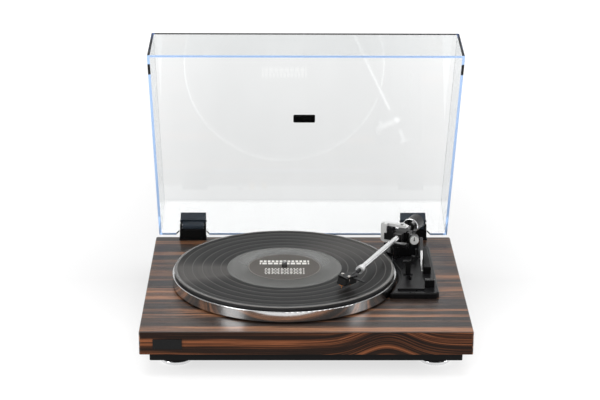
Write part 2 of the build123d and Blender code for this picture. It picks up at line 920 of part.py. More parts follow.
# Lower hinge blocks with their pins, and their screws
cheek_gap = hinge_knuckle_width + 2 * hinge_side_gap
block_front = hinge_y - hinge_block_depth
with BuildPart() as hinge_blocks:
    for middle in hinge_sides.values():
        with BuildSketch(Plane.XY.offset(deck)):
            with Locations((middle, plinth_depth - hinge_flange_depth / 2)):
                Rectangle(hinge_flange_width, hinge_flange_depth)
        extrude(amount=hinge_flange_height)
        with BuildSketch(Plane.XY.offset(deck)):
            with Locations((middle, (block_front + plinth_depth) / 2)):
                Rectangle(hinge_block_width, plinth_depth - block_front)
        extrude(amount=hinge_block_height)
        for side in (-1, 1):
            cheek_middle = middle + side * (hinge_block_width + cheek_gap) / 4
            with BuildSketch(Plane.YZ.offset(cheek_middle)):
                with Locations((hinge_y, hinge_z)):
                    Circle(hinge_cheek_radius)
                with Locations((hinge_y, (deck + hinge_z) / 2)):
                    Rectangle(2 * hinge_cheek_radius, hinge_z - deck)
                with Locations((plinth_depth + hinge_cheek_radius, deck)):
                    Rectangle(2 * hinge_cheek_radius, 8 * hinge_cheek_radius, mode=Mode.SUBTRACT)
            extrude(amount=(hinge_block_width - cheek_gap) / 4, both=True)
        with BuildSketch(Plane.YZ.offset(middle - cheek_gap / 2)):
            with Locations((hinge_y, hinge_z)):
                Circle(hinge_throat)
        extrude(amount=cheek_gap, mode=Mode.SUBTRACT)
        with BuildSketch(Plane.YZ.offset(middle - hinge_block_width / 2)):
            with Locations((hinge_y, hinge_z)):
                Circle(hinge_pin_radius)
        extrude(amount=hinge_block_width)
keep("hinge_blocks", hinge_blocks)

hinge_screw_spots = [
    (middle + side * hinge_block_width / 3, block_front - (hinge_flange_depth - plinth_depth + block_front) / 2)
    for middle in hinge_sides.values()
    for side in (-1, 1)
]
with BuildPart() as hinge_screws:
    with BuildSketch(Plane.XY.offset(deck + hinge_flange_height)):
        with Locations(hinge_screw_spots):
            Circle(hinge_screw_radius)
    extrude(amount=hinge_screw_height)
keep("hinge_screws", hinge_screws)

# Soft strips under the lid's rim, and its bare name plate
with BuildPart() as lid_bumpers:
    with BuildSketch(lid_plane(0)):
        for side in (-1, 1):
            with Locations((
                side * (lid_half_width - lid_wall / 2),
                lid_back - lid_depth + bumper_from_front + bumper_length / 2,
            )):
                Rectangle(bumper_width, bumper_length)
    extrude(amount=-bumper_thickness)
keep("lid_bumpers", lid_bumpers)

with BuildPart() as lid_badge:
    with BuildSketch(lid_plane(lid_height)):
        with Locations((0, lid_back - lid_badge_back)):
            RectangleRounded(lid_badge_width, lid_badge_depth, 2)
    extrude(amount=lid_badge_thickness)
keep("lid_badge", lid_badge)

# Arm base: a moulded cover, hollow below, cut back round the platter
base_middle = ((base_left + base_right) / 2, (base_front + base_back) / 2)
base_width = base_right - base_left
base_depth = base_back - base_front
base_arc = platter_radius + base_platter_gap
lift_rod_spot = (
    pivot_x - lift_orbit * math.sin(math.radians(lift_rod_yaw)),
    pivot_y - lift_orbit * math.cos(math.radians(lift_rod_yaw)),
)
bracket_low = cue_pivot_z - cue_axle_radius - 1
speed_middle = (speed_x, speed_y - speed_travel / 2)
speed_slot = (speed_width + 2 * slide_gap, speed_depth + speed_travel + 2 * slide_gap)
with BuildPart() as arm_base:
    with BuildSketch(Plane.XY.offset(deck)):
        with Locations(base_middle):
            RectangleRounded(base_width, base_depth, base_corner)
        with Locations(platter_centre):
            Circle(base_arc, mode=Mode.SUBTRACT)
    extrude(amount=base_height)
    chamfer(arm_base.faces().sort_by(Axis.Z)[-1].edges(), 1.4)
    with BuildSketch(Plane.XY.offset(deck)):
        with Locations(base_middle):
            Rectangle(base_width - 2 * base_wall, base_depth - 2 * base_wall)
        with Locations(platter_centre):
            Circle(base_arc + base_wall, mode=Mode.SUBTRACT)
    extrude(amount=base_height - base_wall, mode=Mode.SUBTRACT)
    with BuildSketch(Plane.XY.offset(deck)):
        with Locations(pivot):
            Circle(yaw_shaft_radius + 2)
        with Locations(lift_rod_spot):
            Circle(lift_rod_radius + running_clearance)
        with Locations(cue_middle):
            Rectangle(cue_slot_width, cue_slot_length)
        with Locations(start_middle):
            Rectangle(start_slot_width, start_slot_length)
        with Locations(speed_middle):
            Rectangle(*speed_slot)
    extrude(amount=base_height, mode=Mode.SUBTRACT)
    for side in (-1, 1):
        with BuildSketch(Plane.YZ.offset(cue_x + side * (cue_axle_length / 2 - cue_cheek / 2) - cue_cheek / 2)):
            with Locations((cue_y, deck + (bracket_low + base_height - base_wall) / 2)):
                Rectangle(4 * cue_axle_radius, base_height - base_wall - bracket_low)
            with Locations((cue_y, deck + cue_pivot_z)):
                Circle(cue_axle_radius + running_clearance, mode=Mode.SUBTRACT)
        extrude(amount=cue_cheek)
keep("arm_base", arm_base)

plate_middle = ((plate_left + plate_right) / 2, (plate_front + plate_back) / 2)
with BuildPart() as arm_base_plate:
    with BuildSketch(Plane.XY.offset(base_top)):
        with Locations(plate_middle):
            RectangleRounded(plate_right - plate_left, plate_back - plate_front, plate_corner)
        with Locations(platter_centre):
            Circle(platter_radius + plate_platter_gap, mode=Mode.SUBTRACT)
        with Locations(lift_rod_spot):
            Circle(lift_rod_radius + running_clearance, mode=Mode.SUBTRACT)
        with Locations(speed_middle):
            Rectangle(*speed_slot, mode=Mode.SUBTRACT)
    extrude(amount=plate_height)
    chamfer(arm_base_plate.faces().sort_by(Axis.Z)[-1].edges(), 0.4)
keep("arm_base_plate", arm_base_plate)

with BuildPart() as control_rail:
    with BuildSketch(Plane.XY.offset(base_top)):
        with Locations((rail_left + rail_width / 2, (rail_front + rail_back) / 2)):
            Rectangle(rail_width, rail_back - rail_front)
        with Locations(cue_middle):
            Rectangle(cue_slot_width + 1, cue_slot_length, mode=Mode.SUBTRACT)
    extrude(amount=rail_height)
    chamfer(control_rail.faces().sort_by(Axis.Z)[-1].edges(), 0.6)
keep("control_rail", control_rail)

# Arm tower: disc, post and the apron that carries the anti-skating knob
apron_corner = [
    (apron_left, base_top + tower_disc_height),
    (apron_left, deck + apron_low),
    (apron_step, deck + apron_low),
    (apron_step, deck + knob_z),
    (apron_right, deck + knob_z),
    (apron_right, base_top + tower_disc_height),
]
with BuildPart() as arm_tower:
    with BuildSketch(Plane.XY.offset(base_top)):
        with Locations(pivot):
            Circle(tower_disc_radius)
    extrude(amount=tower_disc_height)
    with BuildSketch(Plane.XY.offset(base_top + tower_disc_height)):
        with Locations(pivot):
            Circle(tower_post_radius)
    extrude(amount=tower_top - base_height - tower_disc_height)
    with BuildSketch(Plane.XZ.offset(-apron_front)):
        with BuildLine():
            Polyline(*apron_corner, close=True)
        make_face()
        with Locations((knob_x, deck + knob_z)):
            Circle((apron_right - apron_step) / 2)
    extrude(amount=-apron_depth)
    with BuildSketch(Plane.XZ.offset(-apron_front)):
        with Locations((knob_x, deck + knob_z)):
            Circle(knob_stem_radius + running_clearance)
    extrude(amount=-apron_depth, mode=Mode.SUBTRACT)
    with BuildSketch(Plane.XY.offset(base_top)):
        with Locations(pivot):
            Circle(yaw_shaft_radius + running_clearance)
    extrude(amount=tower_top, mode=Mode.SUBTRACT)
keep("arm_tower", arm_tower)

with BuildPart() as antiskate_knob:
    with BuildSketch(Plane.XZ.offset(knob_gap - apron_front)):
        with Locations((knob_x, deck + knob_z)):
            Circle(knob_radius)
    extrude(amount=knob_depth)
    fillet(antiskate_knob.faces().sort_by(Axis.Y)[0].edges(), 0.8)
    with BuildSketch(Plane.XZ.offset(knob_gap - apron_front)):
        with Locations((knob_x, deck + knob_z)):
            Circle(knob_stem_radius)
    extrude(amount=-apron_depth - knob_gap)
keep("antiskate_knob", antiskate_knob)

# Arm rest: foot, stem and cradle, with the clip that locks the parked arm
cradle_base = arm_z - tube_radius - rest_gap - cradle_floor
cradle_top = arm_z + cradle_lip - tube_radius
clip_x = rest_x + cradle_width / 2 - 1.8
clip_z = cradle_top + 2.2
lip_low = arm_z - tube_radius - rest_gap
with BuildPart() as arm_rest:
    with BuildSketch(Plane.XY.offset(base_plate_top)):
        with Locations((rest_x, rest_y)):
            Rectangle(rest_foot_width, rest_foot_depth)
    extrude(amount=rest_foot_height)
    with BuildSketch(Plane.XY.offset(base_plate_top + rest_foot_height)):
        with Locations((rest_x, rest_y)):
            Rectangle(rest_stem_width, rest_stem_depth)
    extrude(amount=cradle_base - base_plate_top - rest_foot_height)
    with BuildSketch(Plane.XZ.offset(-rest_y - cradle_depth / 2)):
        with Locations((rest_x, (cradle_base + cradle_top) / 2)):
            Rectangle(cradle_width, cradle_top - cradle_base)
        with Locations((rest_x, arm_z)):
            Circle(tube_radius + rest_gap, mode=Mode.SUBTRACT)
        with Locations((rest_x - cradle_width / 2, lip_low + cradle_width / 2)):
            Rectangle(cradle_width, cradle_width, mode=Mode.SUBTRACT)
    extrude(amount=cradle_depth)
    with BuildSketch(Plane.XZ.offset(-rest_y - cradle_depth / 2)):
        with Locations((clip_x, (cradle_top + clip_z) / 2)):
            Rectangle(clip_bar, clip_z + clip_bar / 2 - cradle_top + 1)
    extrude(amount=cradle_depth / 2 - slide_gap)
    with BuildSketch(Plane.XZ.offset(-rest_y - cradle_depth / 2)):
        with Locations((clip_x, clip_z)):
            Circle(clip_pin_radius)
    extrude(amount=cradle_depth)
keep("arm_rest", arm_rest)

with BuildPart() as arm_clip:
    with BuildSketch(Plane.XZ.offset(-rest_y)):
        with Locations((clip_x + clip_reach / 2, clip_z)):
            Rectangle(clip_reach + clip_bar, clip_bar)
        with Locations((clip_x + clip_reach, clip_z + clip_hook / 2)):
            Rectangle(clip_bar, clip_hook)
        with Locations((clip_x, clip_z)):
            Circle(clip_pin_radius + running_clearance, mode=Mode.SUBTRACT)
    extrude(amount=cradle_depth / 2)
keep("arm_clip", arm_clip)

# Gimbal: bright yoke, dark side plate, shaft and top screw. It turns with the arm.
frame_middle = (frame_top + frame_bottom) / 2


def yoke_plane(depth):
    """The upright plane square to the tube, in front of the pivot by half a depth."""
    return along_arm(-depth / 2)


with BuildPart() as gimbal_frame:
    with BuildSketch(yoke_plane(frame_depth)):
        with BuildLine():
            FilletPolyline(
                (frame_right, arm_height - frame_top),
                (-frame_left, arm_height - frame_top),
                (-frame_left, arm_height - frame_bottom),
                (frame_right, arm_height - frame_bottom),
                radius=frame_corner,
            )
            Line((frame_right, arm_height - frame_bottom), (frame_right, arm_height - frame_top))
        make_face()
        with Locations((
            (frame_right - frame_left + frame_limb) / 2,
            arm_height - frame_middle,
        )):
            Rectangle(
                frame_right + frame_left - frame_limb,
                frame_top - frame_bottom - 2 * frame_bar,
                mode=Mode.SUBTRACT,
            )
    extrude(amount=frame_depth)
    with BuildSketch(along_arm(-bracket_depth / 2 - lug_depth)):
        with Locations((
            lug_width / 2 - lug_left,
            arm_height - (frame_top - frame_bar + lug_bottom) / 2,
        )):
            Rectangle(lug_width, frame_top - frame_bar - lug_bottom)
    extrude(amount=lug_depth)
    with BuildSketch(along_arm(-bracket_depth / 2 - lug_depth)):
        with Locations((
            lug_width / 2 - lug_left,
            arm_height - frame_top + frame_bar / 2,
        )):
            Rectangle(lug_width, frame_bar)
    extrude(amount=lug_depth + bracket_depth / 2)
keep("gimbal_frame", gimbal_frame)

with BuildPart() as gimbal_bracket:
    with BuildSketch(along_arm(-bracket_depth / 2)):
        for side in (-1, 1):
            with Locations((
                side * (bracket_half - bracket_wall / 2),
                arm_height - (frame_bottom + frame_bar + bracket_top) / 2,
            )):
                Rectangle(bracket_wall, bracket_top - frame_bottom - frame_bar)
        with Locations((0, arm_height - frame_bottom - frame_bar - bracket_floor / 2)):
            Rectangle(2 * bracket_half, bracket_floor)
    extrude(amount=bracket_depth)
    with BuildSketch(along_arm(-bracket_depth / 2)):
        with Locations((
            -(bracket_left + bracket_half) / 2,
            arm_height - (frame_bottom + frame_bar + frame_top - frame_bar) / 2,
        )):
            Rectangle(
                bracket_left - bracket_half,
                frame_top - frame_bottom - 2 * frame_bar - bracket_floor / 2,
            )
    extrude(amount=bracket_depth)
    with BuildSketch(Plane(origin=(pivot_x, pivot_y, arm_z), x_dir=arm_back, z_dir=arm_right)):
        Circle(tilt_pin_radius + fit_clearance)
    extrude(amount=bracket_half + 1, both=True, mode=Mode.SUBTRACT)
keep("gimbal_bracket", gimbal_bracket)

with BuildPart() as tilt_pins:
    for side in (-1, 1):
        with BuildSketch(
            Plane(origin=(pivot_x, pivot_y, arm_z), x_dir=arm_back, z_dir=arm_right).offset(
                side * (carrier_half - pin_reach)
            )
        ):
            Circle(tilt_pin_radius)
        extrude(amount=side * (bracket_half - carrier_half + pin_reach + pin_gap))
keep("tilt_pins", tilt_pins)

with BuildPart() as yaw_shaft:
    with BuildSketch(arm_plane(base_height - yaw_shaft_drop)):
        Circle(yaw_shaft_radius)
    extrude(amount=frame_bottom - base_height + yaw_shaft_drop)
    with BuildSketch(Plane.XY.offset(base_top - yaw_shaft_drop)):
        with Locations((pivot_x, pivot_y - crank_length / 2)):
            SlotOverall(crank_length + 2 * crank_width, crank_width * 2, rotation=90)
    extrude(amount=crank_thickness)
keep("yaw_shaft", yaw_shaft)

with BuildPart() as gimbal_screw:
    with BuildSketch(arm_plane(frame_top)):
        Circle(screw_radius)
    extrude(amount=screw_height)
    with BuildSketch(arm_plane(frame_top + screw_height)):
        Rectangle(2 * screw_radius, screw_slot)
    extrude(amount=-screw_slot, mode=Mode.SUBTRACT)
keep("gimbal_screw", gimbal_screw)

# Arm carrier: the black block that the tube and the stub of the counterweight sit in
with BuildPart() as arm_carrier:
    with BuildSketch(arm_plane(carrier_low)):
        with BuildLine():
            Polyline(
                (-carrier_half, carrier_back),
                (carrier_half, carrier_back),
                (carrier_half, -carrier_step),
                (carrier_nose, -carrier_step),
                (carrier_nose, -carrier_front),
                (-carrier_nose, -carrier_front),
                (-carrier_nose, -carrier_step),
                (-carrier_half, -carrier_step),
                close=True,
            )
        make_face()
    extrude(amount=carrier_high - carrier_low)
    chamfer(arm_carrier.edges().filter_by(Axis.Z), 0.8)
    with BuildSketch(along_arm(-carrier_front)):
        Circle(tube_radius + fit_clearance)
    extrude(amount=carrier_front - tube_in_carrier, mode=Mode.SUBTRACT)
    with BuildSketch(along_arm(carrier_back)):
        Circle(stub_radius + fit_clearance)
    extrude(amount=-stub_in_carrier, mode=Mode.SUBTRACT)
    with BuildSketch(Plane(origin=(pivot_x, pivot_y, arm_z), x_dir=arm_back, z_dir=arm_right)):
        Circle(tilt_pin_radius + running_clearance)
    extrude(amount=carrier_half, both=True, mode=Mode.SUBTRACT)
keep("arm_carrier", arm_carrier)

with BuildPart() as arm_stub:
    with BuildSketch(along_arm(carrier_back - stub_in_carrier)):
        Circle(stub_radius)
    extrude(amount=stub_back - carrier_back + stub_in_carrier)
keep("arm_stub", arm_stub)

with BuildPart() as counterweight:
    with BuildSketch(along_arm(weight_start)):
        Circle(weight_radius)
        Circle(stub_radius + running_clearance, mode=Mode.SUBTRACT)
    extrude(amount=weight_length)
    chamfer(counterweight.edges().filter_by(GeomType.CIRCLE).group_by(SortBy.RADIUS)[-1], 0.8)
keep("counterweight", counterweight)

with BuildPart() as weight_ring:
    with BuildSketch(along_arm(weight_start - weight_ring_length)):
        Circle(weight_radius + weight_ring_proud)
        Circle(sleeve_radius, mode=Mode.SUBTRACT)
    extrude(amount=weight_ring_length)
    chamfer(weight_ring.edges().filter_by(GeomType.CIRCLE).group_by(SortBy.RADIUS)[-1], 0.6)
keep("weight_ring", weight_ring)

# Arm tube with its collar and neck
with BuildPart() as arm_tube:
    with BuildSketch(along_arm(-collar_start - collar_grip)):
        Circle(tube_radius)
        Circle(tube_radius - tube_wall, mode=Mode.SUBTRACT)
    extrude(amount=collar_start + collar_grip - tube_in_carrier)
keep("arm_tube", arm_tube)

with BuildPart() as tube_collar:
    with BuildSketch(along_arm(-collar_end)):
        Circle(collar_radius)
    with BuildSketch(along_arm(-collar_start)):
        Circle(tube_radius + 1)
    loft()
    with BuildSketch(along_arm(-collar_start - collar_grip)):
        Circle(tube_radius + fit_clearance)
    extrude(amount=collar_grip, mode=Mode.SUBTRACT)
    with BuildSketch(along_arm(-collar_end)):
        Circle(neck_radius + fit_clearance)
    extrude(amount=neck_grip, mode=Mode.SUBTRACT)
keep("tube_collar", tube_collar)

with BuildPart() as arm_neck:
    with BuildSketch(along_arm(-neck_end)):
        Circle(neck_radius)
    extrude(amount=neck_end - collar_end + neck_grip)
keep("arm_neck", arm_neck)

# Headshell, finger lift, cartridge, stylus and the two screws
shell_low = shell_top - shell_thickness
screw_spots = [(side * mount_screw_spacing / 2, 0) for side in (-1, 1)]
with BuildPart() as headshell:
    with BuildSketch(shell_plane(shell_low)):
        with BuildLine():
            Polyline(
                (-shell_width / 2, shell_rear - shell_taper),
                (-shell_tail, shell_rear),
                (shell_tail, shell_rear),
                (shell_width / 2, shell_rear - shell_taper),
                (shell_width / 2, -shell_front),
                (-shell_width / 2, -shell_front),
                close=True,
            )
        make_face()
    extrude(amount=shell_thickness)
    with BuildSketch(along_arm(-shell_stem_end)):
        Circle(neck_radius - 0.4)
    extrude(amount=shell_stem_end - neck_end)
    with BuildSketch(shell_plane(shell_low)):
        with Locations(screw_spots):
            Circle(mount_screw_radius + fit_clearance)
    extrude(amount=shell_thickness, mode=Mode.SUBTRACT)
    with BuildSketch(shell_plane(shell_low)):
        with Locations((0, shell_rear / 2)):
            Rectangle(shell_width * 2, shell_rear * 3)
    extrude(amount=-shell_thickness, mode=Mode.SUBTRACT)
    with BuildSketch(shell_plane(shell_low)):
        with BuildLine():
            Polyline(
                (shell_width / 2 - 5, finger_back - finger_width),
                (shell_width / 2 - 5, finger_back + finger_width),
                (shell_width / 2, finger_back + finger_width),
                (shell_width / 2 + finger_length, finger_back + finger_width / 2),
                (shell_width / 2 + finger_length, finger_back - finger_width / 2),
                (shell_width / 2, finger_back - finger_width),
                close=True,
            )
        make_face()
    extrude(amount=finger_thickness)
keep("headshell", headshell)

with BuildPart() as cartridge:
    with BuildSketch(Plane(origin=(shell_x, shell_y, deck + shell_low), x_dir=shell_back, z_dir=shell_right)):
        with BuildLine():
            Polyline(
                (cartridge_rear, 0),
                (-cartridge_front, 0),
                (-cartridge_front - cartridge_nose, -cartridge_height),
                (cartridge_rear, -cartridge_height),
                close=True,
            )
        make_face()
    extrude(amount=cartridge_width / 2, both=True)
    with BuildSketch(shell_plane(shell_low)):
        with Locations(screw_spots):
            Circle(mount_screw_radius + fit_clearance)
    extrude(amount=-cartridge_thread, mode=Mode.SUBTRACT)
keep("cartridge", cartridge)

stylus_top = shell_low - cartridge_height
with BuildPart() as stylus:
    with BuildSketch(Plane(origin=(shell_x, shell_y, deck + stylus_top), x_dir=shell_back, z_dir=shell_right)):
        with BuildLine():
            Polyline(
                (stylus_rear, 0),
                (-stylus_reach, 0),
                (-stylus_reach, -stylus_height / 2),
                (stylus_rear, -stylus_height),
                close=True,
            )
        make_face()
    extrude(amount=stylus_width / 2, both=True)
    with BuildSketch(shell_plane(stylus_top - stylus_height / 2)):
        with Locations((0, tip_back)):
            Circle(tip_radius)
    extrude(amount=-(stylus_top - stylus_height / 2 - (record_top + stylus_gap - deck)))
keep("stylus", stylus)

with BuildPart() as cartridge_screws:
    with BuildSketch(shell_plane(shell_low - cartridge_thread)):
        with Locations(screw_spots):
            Circle(mount_screw_radius)
    extrude(amount=cartridge_thread + shell_thickness)
    with BuildSketch(shell_plane(shell_top)):
        with Locations(screw_spots):
            Circle(mount_screw_head)
    extrude(amount=mount_screw_head_height)
keep("cartridge_screws", cartridge_screws)

# Cue lever with its grip and bracket, and the arc that it raises under the tube
lean = math.radians(cue_lean)
cue_line = Plane(
    origin=(cue_x, cue_y, deck + cue_pivot_z),
    x_dir=(1, 0, 0),
    z_dir=(0, math.sin(lean), math.cos(lean)),
)
with BuildPart() as cue_lever:
    with BuildSketch(cue_line):
        Circle(cue_rod_radius)
    extrude(amount=cue_rod_length)
    with BuildSketch(Plane.YZ.offset(cue_x - cue_axle_length / 2)):
        with Locations((cue_y, deck + cue_pivot_z)):
            Circle(cue_axle_radius)
    extrude(amount=cue_axle_length)
keep("cue_lever", cue_lever)

with BuildPart() as cue_grip:
    with BuildSketch(cue_line.offset(cue_rod_length)):
        Circle(cue_grip_radius)
    extrude(amount=cue_grip_length)
    fillet(cue_grip.edges().filter_by(GeomType.CIRCLE).sort_by(Axis.Z)[-1], 1.4)
keep("cue_grip", cue_grip)


arc_top = arm_height - tube_radius - lift_gap
with BuildPart() as lift_arc:
    with BuildSketch(Plane.XY.offset(deck + arc_top - lift_thickness)):
        with BuildLine():
            for radius in (lift_orbit - lift_width / 2, lift_orbit + lift_width / 2):
                CenterArc(pivot, radius, 270 - lift_arc_to, lift_arc_to - lift_arc_from)
            for angle in (270 - lift_arc_from, 270 - lift_arc_to):
                Line(
                    orbit(pivot, lift_orbit - lift_width / 2, angle),
                    orbit(pivot, lift_orbit + lift_width / 2, angle),
                )
        make_face()
    extrude(amount=lift_thickness)
    with BuildSketch(Plane.XY.offset(base_top - lift_rod_drop)):
        with Locations(lift_rod_spot):
            Circle(lift_rod_radius)
    extrude(amount=deck + arc_top - lift_thickness - base_top + lift_rod_drop)
keep("lift_arc", lift_arc)

# Start and stop slider, and the speed slider in front of the arm rest
with BuildPart() as start_knob:
    with BuildSketch(Plane.XY.offset(base_top + start_gap)):
        with Locations((start_x, start_front + start_depth / 2)):
            RectangleRounded(start_width, start_depth, 0.8)
    extrude(amount=start_height)
    chamfer(start_knob.faces().sort_by(Axis.Z)[-1].edges(), 0.5)
    with BuildSketch(Plane.XY.offset(base_top + start_gap)):
        with Locations((start_x, start_front + start_depth / 2)):
            Rectangle(start_stem_width, start_stem_width)
    extrude(amount=-start_stem_drop - start_gap)
keep("start_knob", start_knob)

with BuildPart() as speed_slider:
    with BuildSketch(Plane.XY.offset(base_top - speed_drop)):
        with Locations((speed_x, speed_y)):
            Rectangle(speed_width, speed_depth)
    extrude(amount=speed_drop + plate_height + speed_proud)
keep("speed_slider", speed_slider)

# Rear panel with its sockets, power inlet, output switch and earth terminal
panel_face = plinth_depth - panel_recess
panel_mid_z = deck - panel_drop - panel_height / 2
socket_spots = [
    (panel_left + panel_width - socket_first - row * socket_spacing, panel_mid_z) for row in (0, 1)
]
inlet_spot = (panel_left + panel_width - inlet_from_left, panel_mid_z)
switch_spot = (panel_left + panel_width - switch_from_left, panel_mid_z)
earth_spot = (panel_left + panel_width - earth_from_left, panel_mid_z)
switch_window = (switch_width + switch_travel + 2 * slide_gap, switch_height + 2 * slide_gap)
switch_middle = (switch_spot[0] + switch_travel / 2, panel_mid_z)
with BuildPart() as rear_panel:
    with BuildSketch(Plane.XZ.offset(-panel_face)):
        with Locations(panel_middle):
            Rectangle(panel_width - 2 * fit_clearance, panel_height - 2 * fit_clearance)
        with Locations(socket_spots):
            Circle(socket_radius + fit_clearance, mode=Mode.SUBTRACT)
        with Locations(inlet_spot):
            Circle(inlet_radius + fit_clearance, mode=Mode.SUBTRACT)
        with Locations(switch_middle):
            Rectangle(*switch_window, mode=Mode.SUBTRACT)
    extrude(amount=panel_thickness)
    with BuildSketch(Plane.XZ.offset(-panel_face)):
        with Locations(earth_spot):
            Circle(earth_post_radius)
    extrude(amount=-earth_length)
keep("rear_panel", rear_panel)

with BuildPart() as output_sockets:
    with BuildSketch(Plane.XZ.offset(-panel_face - socket_length)):
        with Locations(socket_spots):
            Circle(socket_radius)
            Circle(socket_bore, mode=Mode.SUBTRACT)
    extrude(amount=socket_length + panel_thickness + 3)
    with BuildSketch(Plane.XZ.offset(-panel_face - socket_flange)):
        with Locations(socket_spots):
            Circle(socket_flange_radius)
            Circle(socket_bore, mode=Mode.SUBTRACT)
    extrude(amount=socket_flange)
keep("output_sockets", output_sockets)

with BuildPart() as power_inlet:
    with BuildSketch(Plane.XZ.offset(-panel_face - 1)):
        with Locations(inlet_spot):
            Circle(inlet_radius)
    extrude(amount=inlet_depth + panel_thickness + 2)
    with BuildSketch(Plane.XZ.offset(-panel_face - 1)):
        with Locations(inlet_spot):
            Circle(inlet_bore)
    extrude(amount=inlet_depth, mode=Mode.SUBTRACT)
keep("power_inlet", power_inlet)

with BuildPart() as output_switch:
    with BuildSketch(Plane.XZ.offset(-panel_face - switch_proud)):
        with Locations(switch_spot):
            Rectangle(switch_width, switch_height)
    extrude(amount=switch_proud + panel_thickness + 1)
keep("output_switch", output_switch)

with BuildPart() as earth_nut:
    with BuildSketch(Plane.XZ.offset(-panel_face - earth_length + 1)):
        with Locations(earth_spot):
            Circle(earth_nut_radius)
            Circle(earth_post_radius + running_clearance, mode=Mode.SUBTRACT)
    extrude(amount=earth_length - 2)
keep("earth_nut", earth_nut)

# Circuit board hung under the top of the plinth
with BuildPart() as circuit_board:
    with BuildSketch(Plane.XY.offset(board_top)):
        with Locations((board_x, board_y)):
            Rectangle(board_width, board_depth)
    extrude(amount=-board_thickness)
    with BuildSketch(Plane.XY.offset(board_top - board_thickness)):
        with Locations((board_x, board_y)):
            with GridLocations(capacitor_pitch, capacitor_pitch, 3, 1):
                Circle(capacitor_radius)
    extrude(amount=-capacitor_height)
keep("circuit_board", circuit_board)


# The finished assembly stands on Z 0, in the middle of its own box in X and Y
open_back = max(piece.bounding_box().max.Y for piece in pieces.values())
open_front = min(piece.bounding_box().min.Y for piece in pieces.values())
os.makedirs("parts", exist_ok=True)
for name, piece in pieces.items():
    placed = piece.moved(Location((0, -(open_back + open_front) / 2, 0)))
    placed.label = name
    export_step(placed, "parts/" + name + ".step")
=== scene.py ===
import bmesh
import bpy
import json
import math
from mathutils import Matrix, Vector


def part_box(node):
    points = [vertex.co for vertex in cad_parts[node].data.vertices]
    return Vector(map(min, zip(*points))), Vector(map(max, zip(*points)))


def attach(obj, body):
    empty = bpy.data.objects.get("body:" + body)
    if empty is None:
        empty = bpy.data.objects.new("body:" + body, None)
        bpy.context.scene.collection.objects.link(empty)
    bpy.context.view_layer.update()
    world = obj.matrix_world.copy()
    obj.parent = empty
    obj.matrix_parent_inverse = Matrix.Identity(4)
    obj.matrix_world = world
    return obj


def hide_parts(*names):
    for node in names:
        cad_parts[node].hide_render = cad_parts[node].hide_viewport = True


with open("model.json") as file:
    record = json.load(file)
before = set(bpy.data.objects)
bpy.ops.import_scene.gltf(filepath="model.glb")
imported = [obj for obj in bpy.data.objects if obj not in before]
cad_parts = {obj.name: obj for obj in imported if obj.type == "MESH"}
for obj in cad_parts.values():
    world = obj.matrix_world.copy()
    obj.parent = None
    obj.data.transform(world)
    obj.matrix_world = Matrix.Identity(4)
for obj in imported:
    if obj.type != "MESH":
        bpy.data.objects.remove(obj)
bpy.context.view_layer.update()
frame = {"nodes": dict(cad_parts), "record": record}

# Places are measured in millimetres on the plinth's own axes: X 0 on its middle, Y 0 on its front
# face, Z 0 on its top. MM and ORIGIN turn that into the frame's metres, in which the shaders work.
MM = 0.001
ORIGIN = Vector((0.0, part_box("plinth")[0][1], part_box("plinth")[1][2]))
PLATTER = (-27.8, 181.0)
KNOB = (154.6, 34.4)
FEET = [(side * 170.5, y) for side in (-1, 1) for y in (55.0, 307.7)]
FOOT_BASE = -62.3

# The open lid: its angle, the way its top faces, how far along that way its rim lies, and how deep the rim's
# painted pale blue goes, in metres; the blue is painted light, for light seen through the sheet edge-on
LID_ANGLE = math.radians(60.7)
LID_NORMAL = Vector((0.0, math.sin(LID_ANGLE), math.cos(LID_ANGLE)))
LID_RIM = min((corner.co - ORIGIN).dot(LID_NORMAL) for corner in frame["nodes"]["lid"].data.vertices)
PAINTED_RIM_LIGHT_DEPTH = 0.0006


def at(x, y, z):
    """A point on the plinth's axes, in the frame's metres."""
    return ORIGIN + Vector((x, y, z)) * MM


# Node helpers


def new_material(name):
    """A material, its node tree and the Principled shader in it."""
    material = bpy.data.materials.new(name)
    material.use_nodes = True
    tree = material.node_tree
    return material, tree, tree.nodes["Principled BSDF"]


def coords(tree, scale=(1, 1, 1)):
    """The object's own coordinates, stretched along its axes."""
    source = tree.nodes.new("ShaderNodeTexCoord")
    mapping = tree.nodes.new("ShaderNodeMapping")
    mapping.inputs["Scale"].default_value = scale
    tree.links.new(source.outputs["Object"], mapping.inputs["Vector"])
    return mapping.outputs["Vector"]


def split(tree, vector):
    """The X, Y and Z of a vector."""
    parts = tree.nodes.new("ShaderNodeSeparateXYZ")
    tree.links.new(vector, parts.inputs["Vector"])
    return parts.outputs["X"], parts.outputs["Y"], parts.outputs["Z"]


def feed(tree, sockets, values):
    """Gives each socket a number, a colour or a link from another socket."""
    for socket, value in zip(sockets, values):
        if isinstance(value, (int, float)):
            socket.default_value = value
        elif isinstance(value, tuple):
            socket.default_value = (*value, 1.0)
        else:
            tree.links.new(value, socket)


def joined(tree, x, y, z=0.0):
    """A vector from three sockets or numbers."""
    made = tree.nodes.new("ShaderNodeCombineXYZ")
    feed(tree, made.inputs, (x, y, z))
    return made.outputs["Vector"]


def deck_axes(tree):
    """A CAD part's own coordinates from the middle of the plinth's top front edge, in metres."""
    source = tree.nodes.new("ShaderNodeTexCoord")
    moved = tree.nodes.new("ShaderNodeVectorMath")
    moved.operation = "SUBTRACT"
    moved.inputs[1].default_value = ORIGIN
    tree.links.new(source.outputs["Object"], moved.inputs[0])
    return split(tree, moved.outputs["Vector"])


def noise(tree, vector, scale, detail=4.0, roughness=0.55, distortion=0.0):
    """A noise texture's factor."""
    made = tree.nodes.new("ShaderNodeTexNoise")
    made.inputs["Scale"].default_value = scale
    made.inputs["Detail"].default_value = detail
    made.inputs["Roughness"].default_value = roughness
    made.inputs["Distortion"].default_value = distortion
    tree.links.new(vector, made.inputs["Vector"])
    return made.outputs["Fac"]


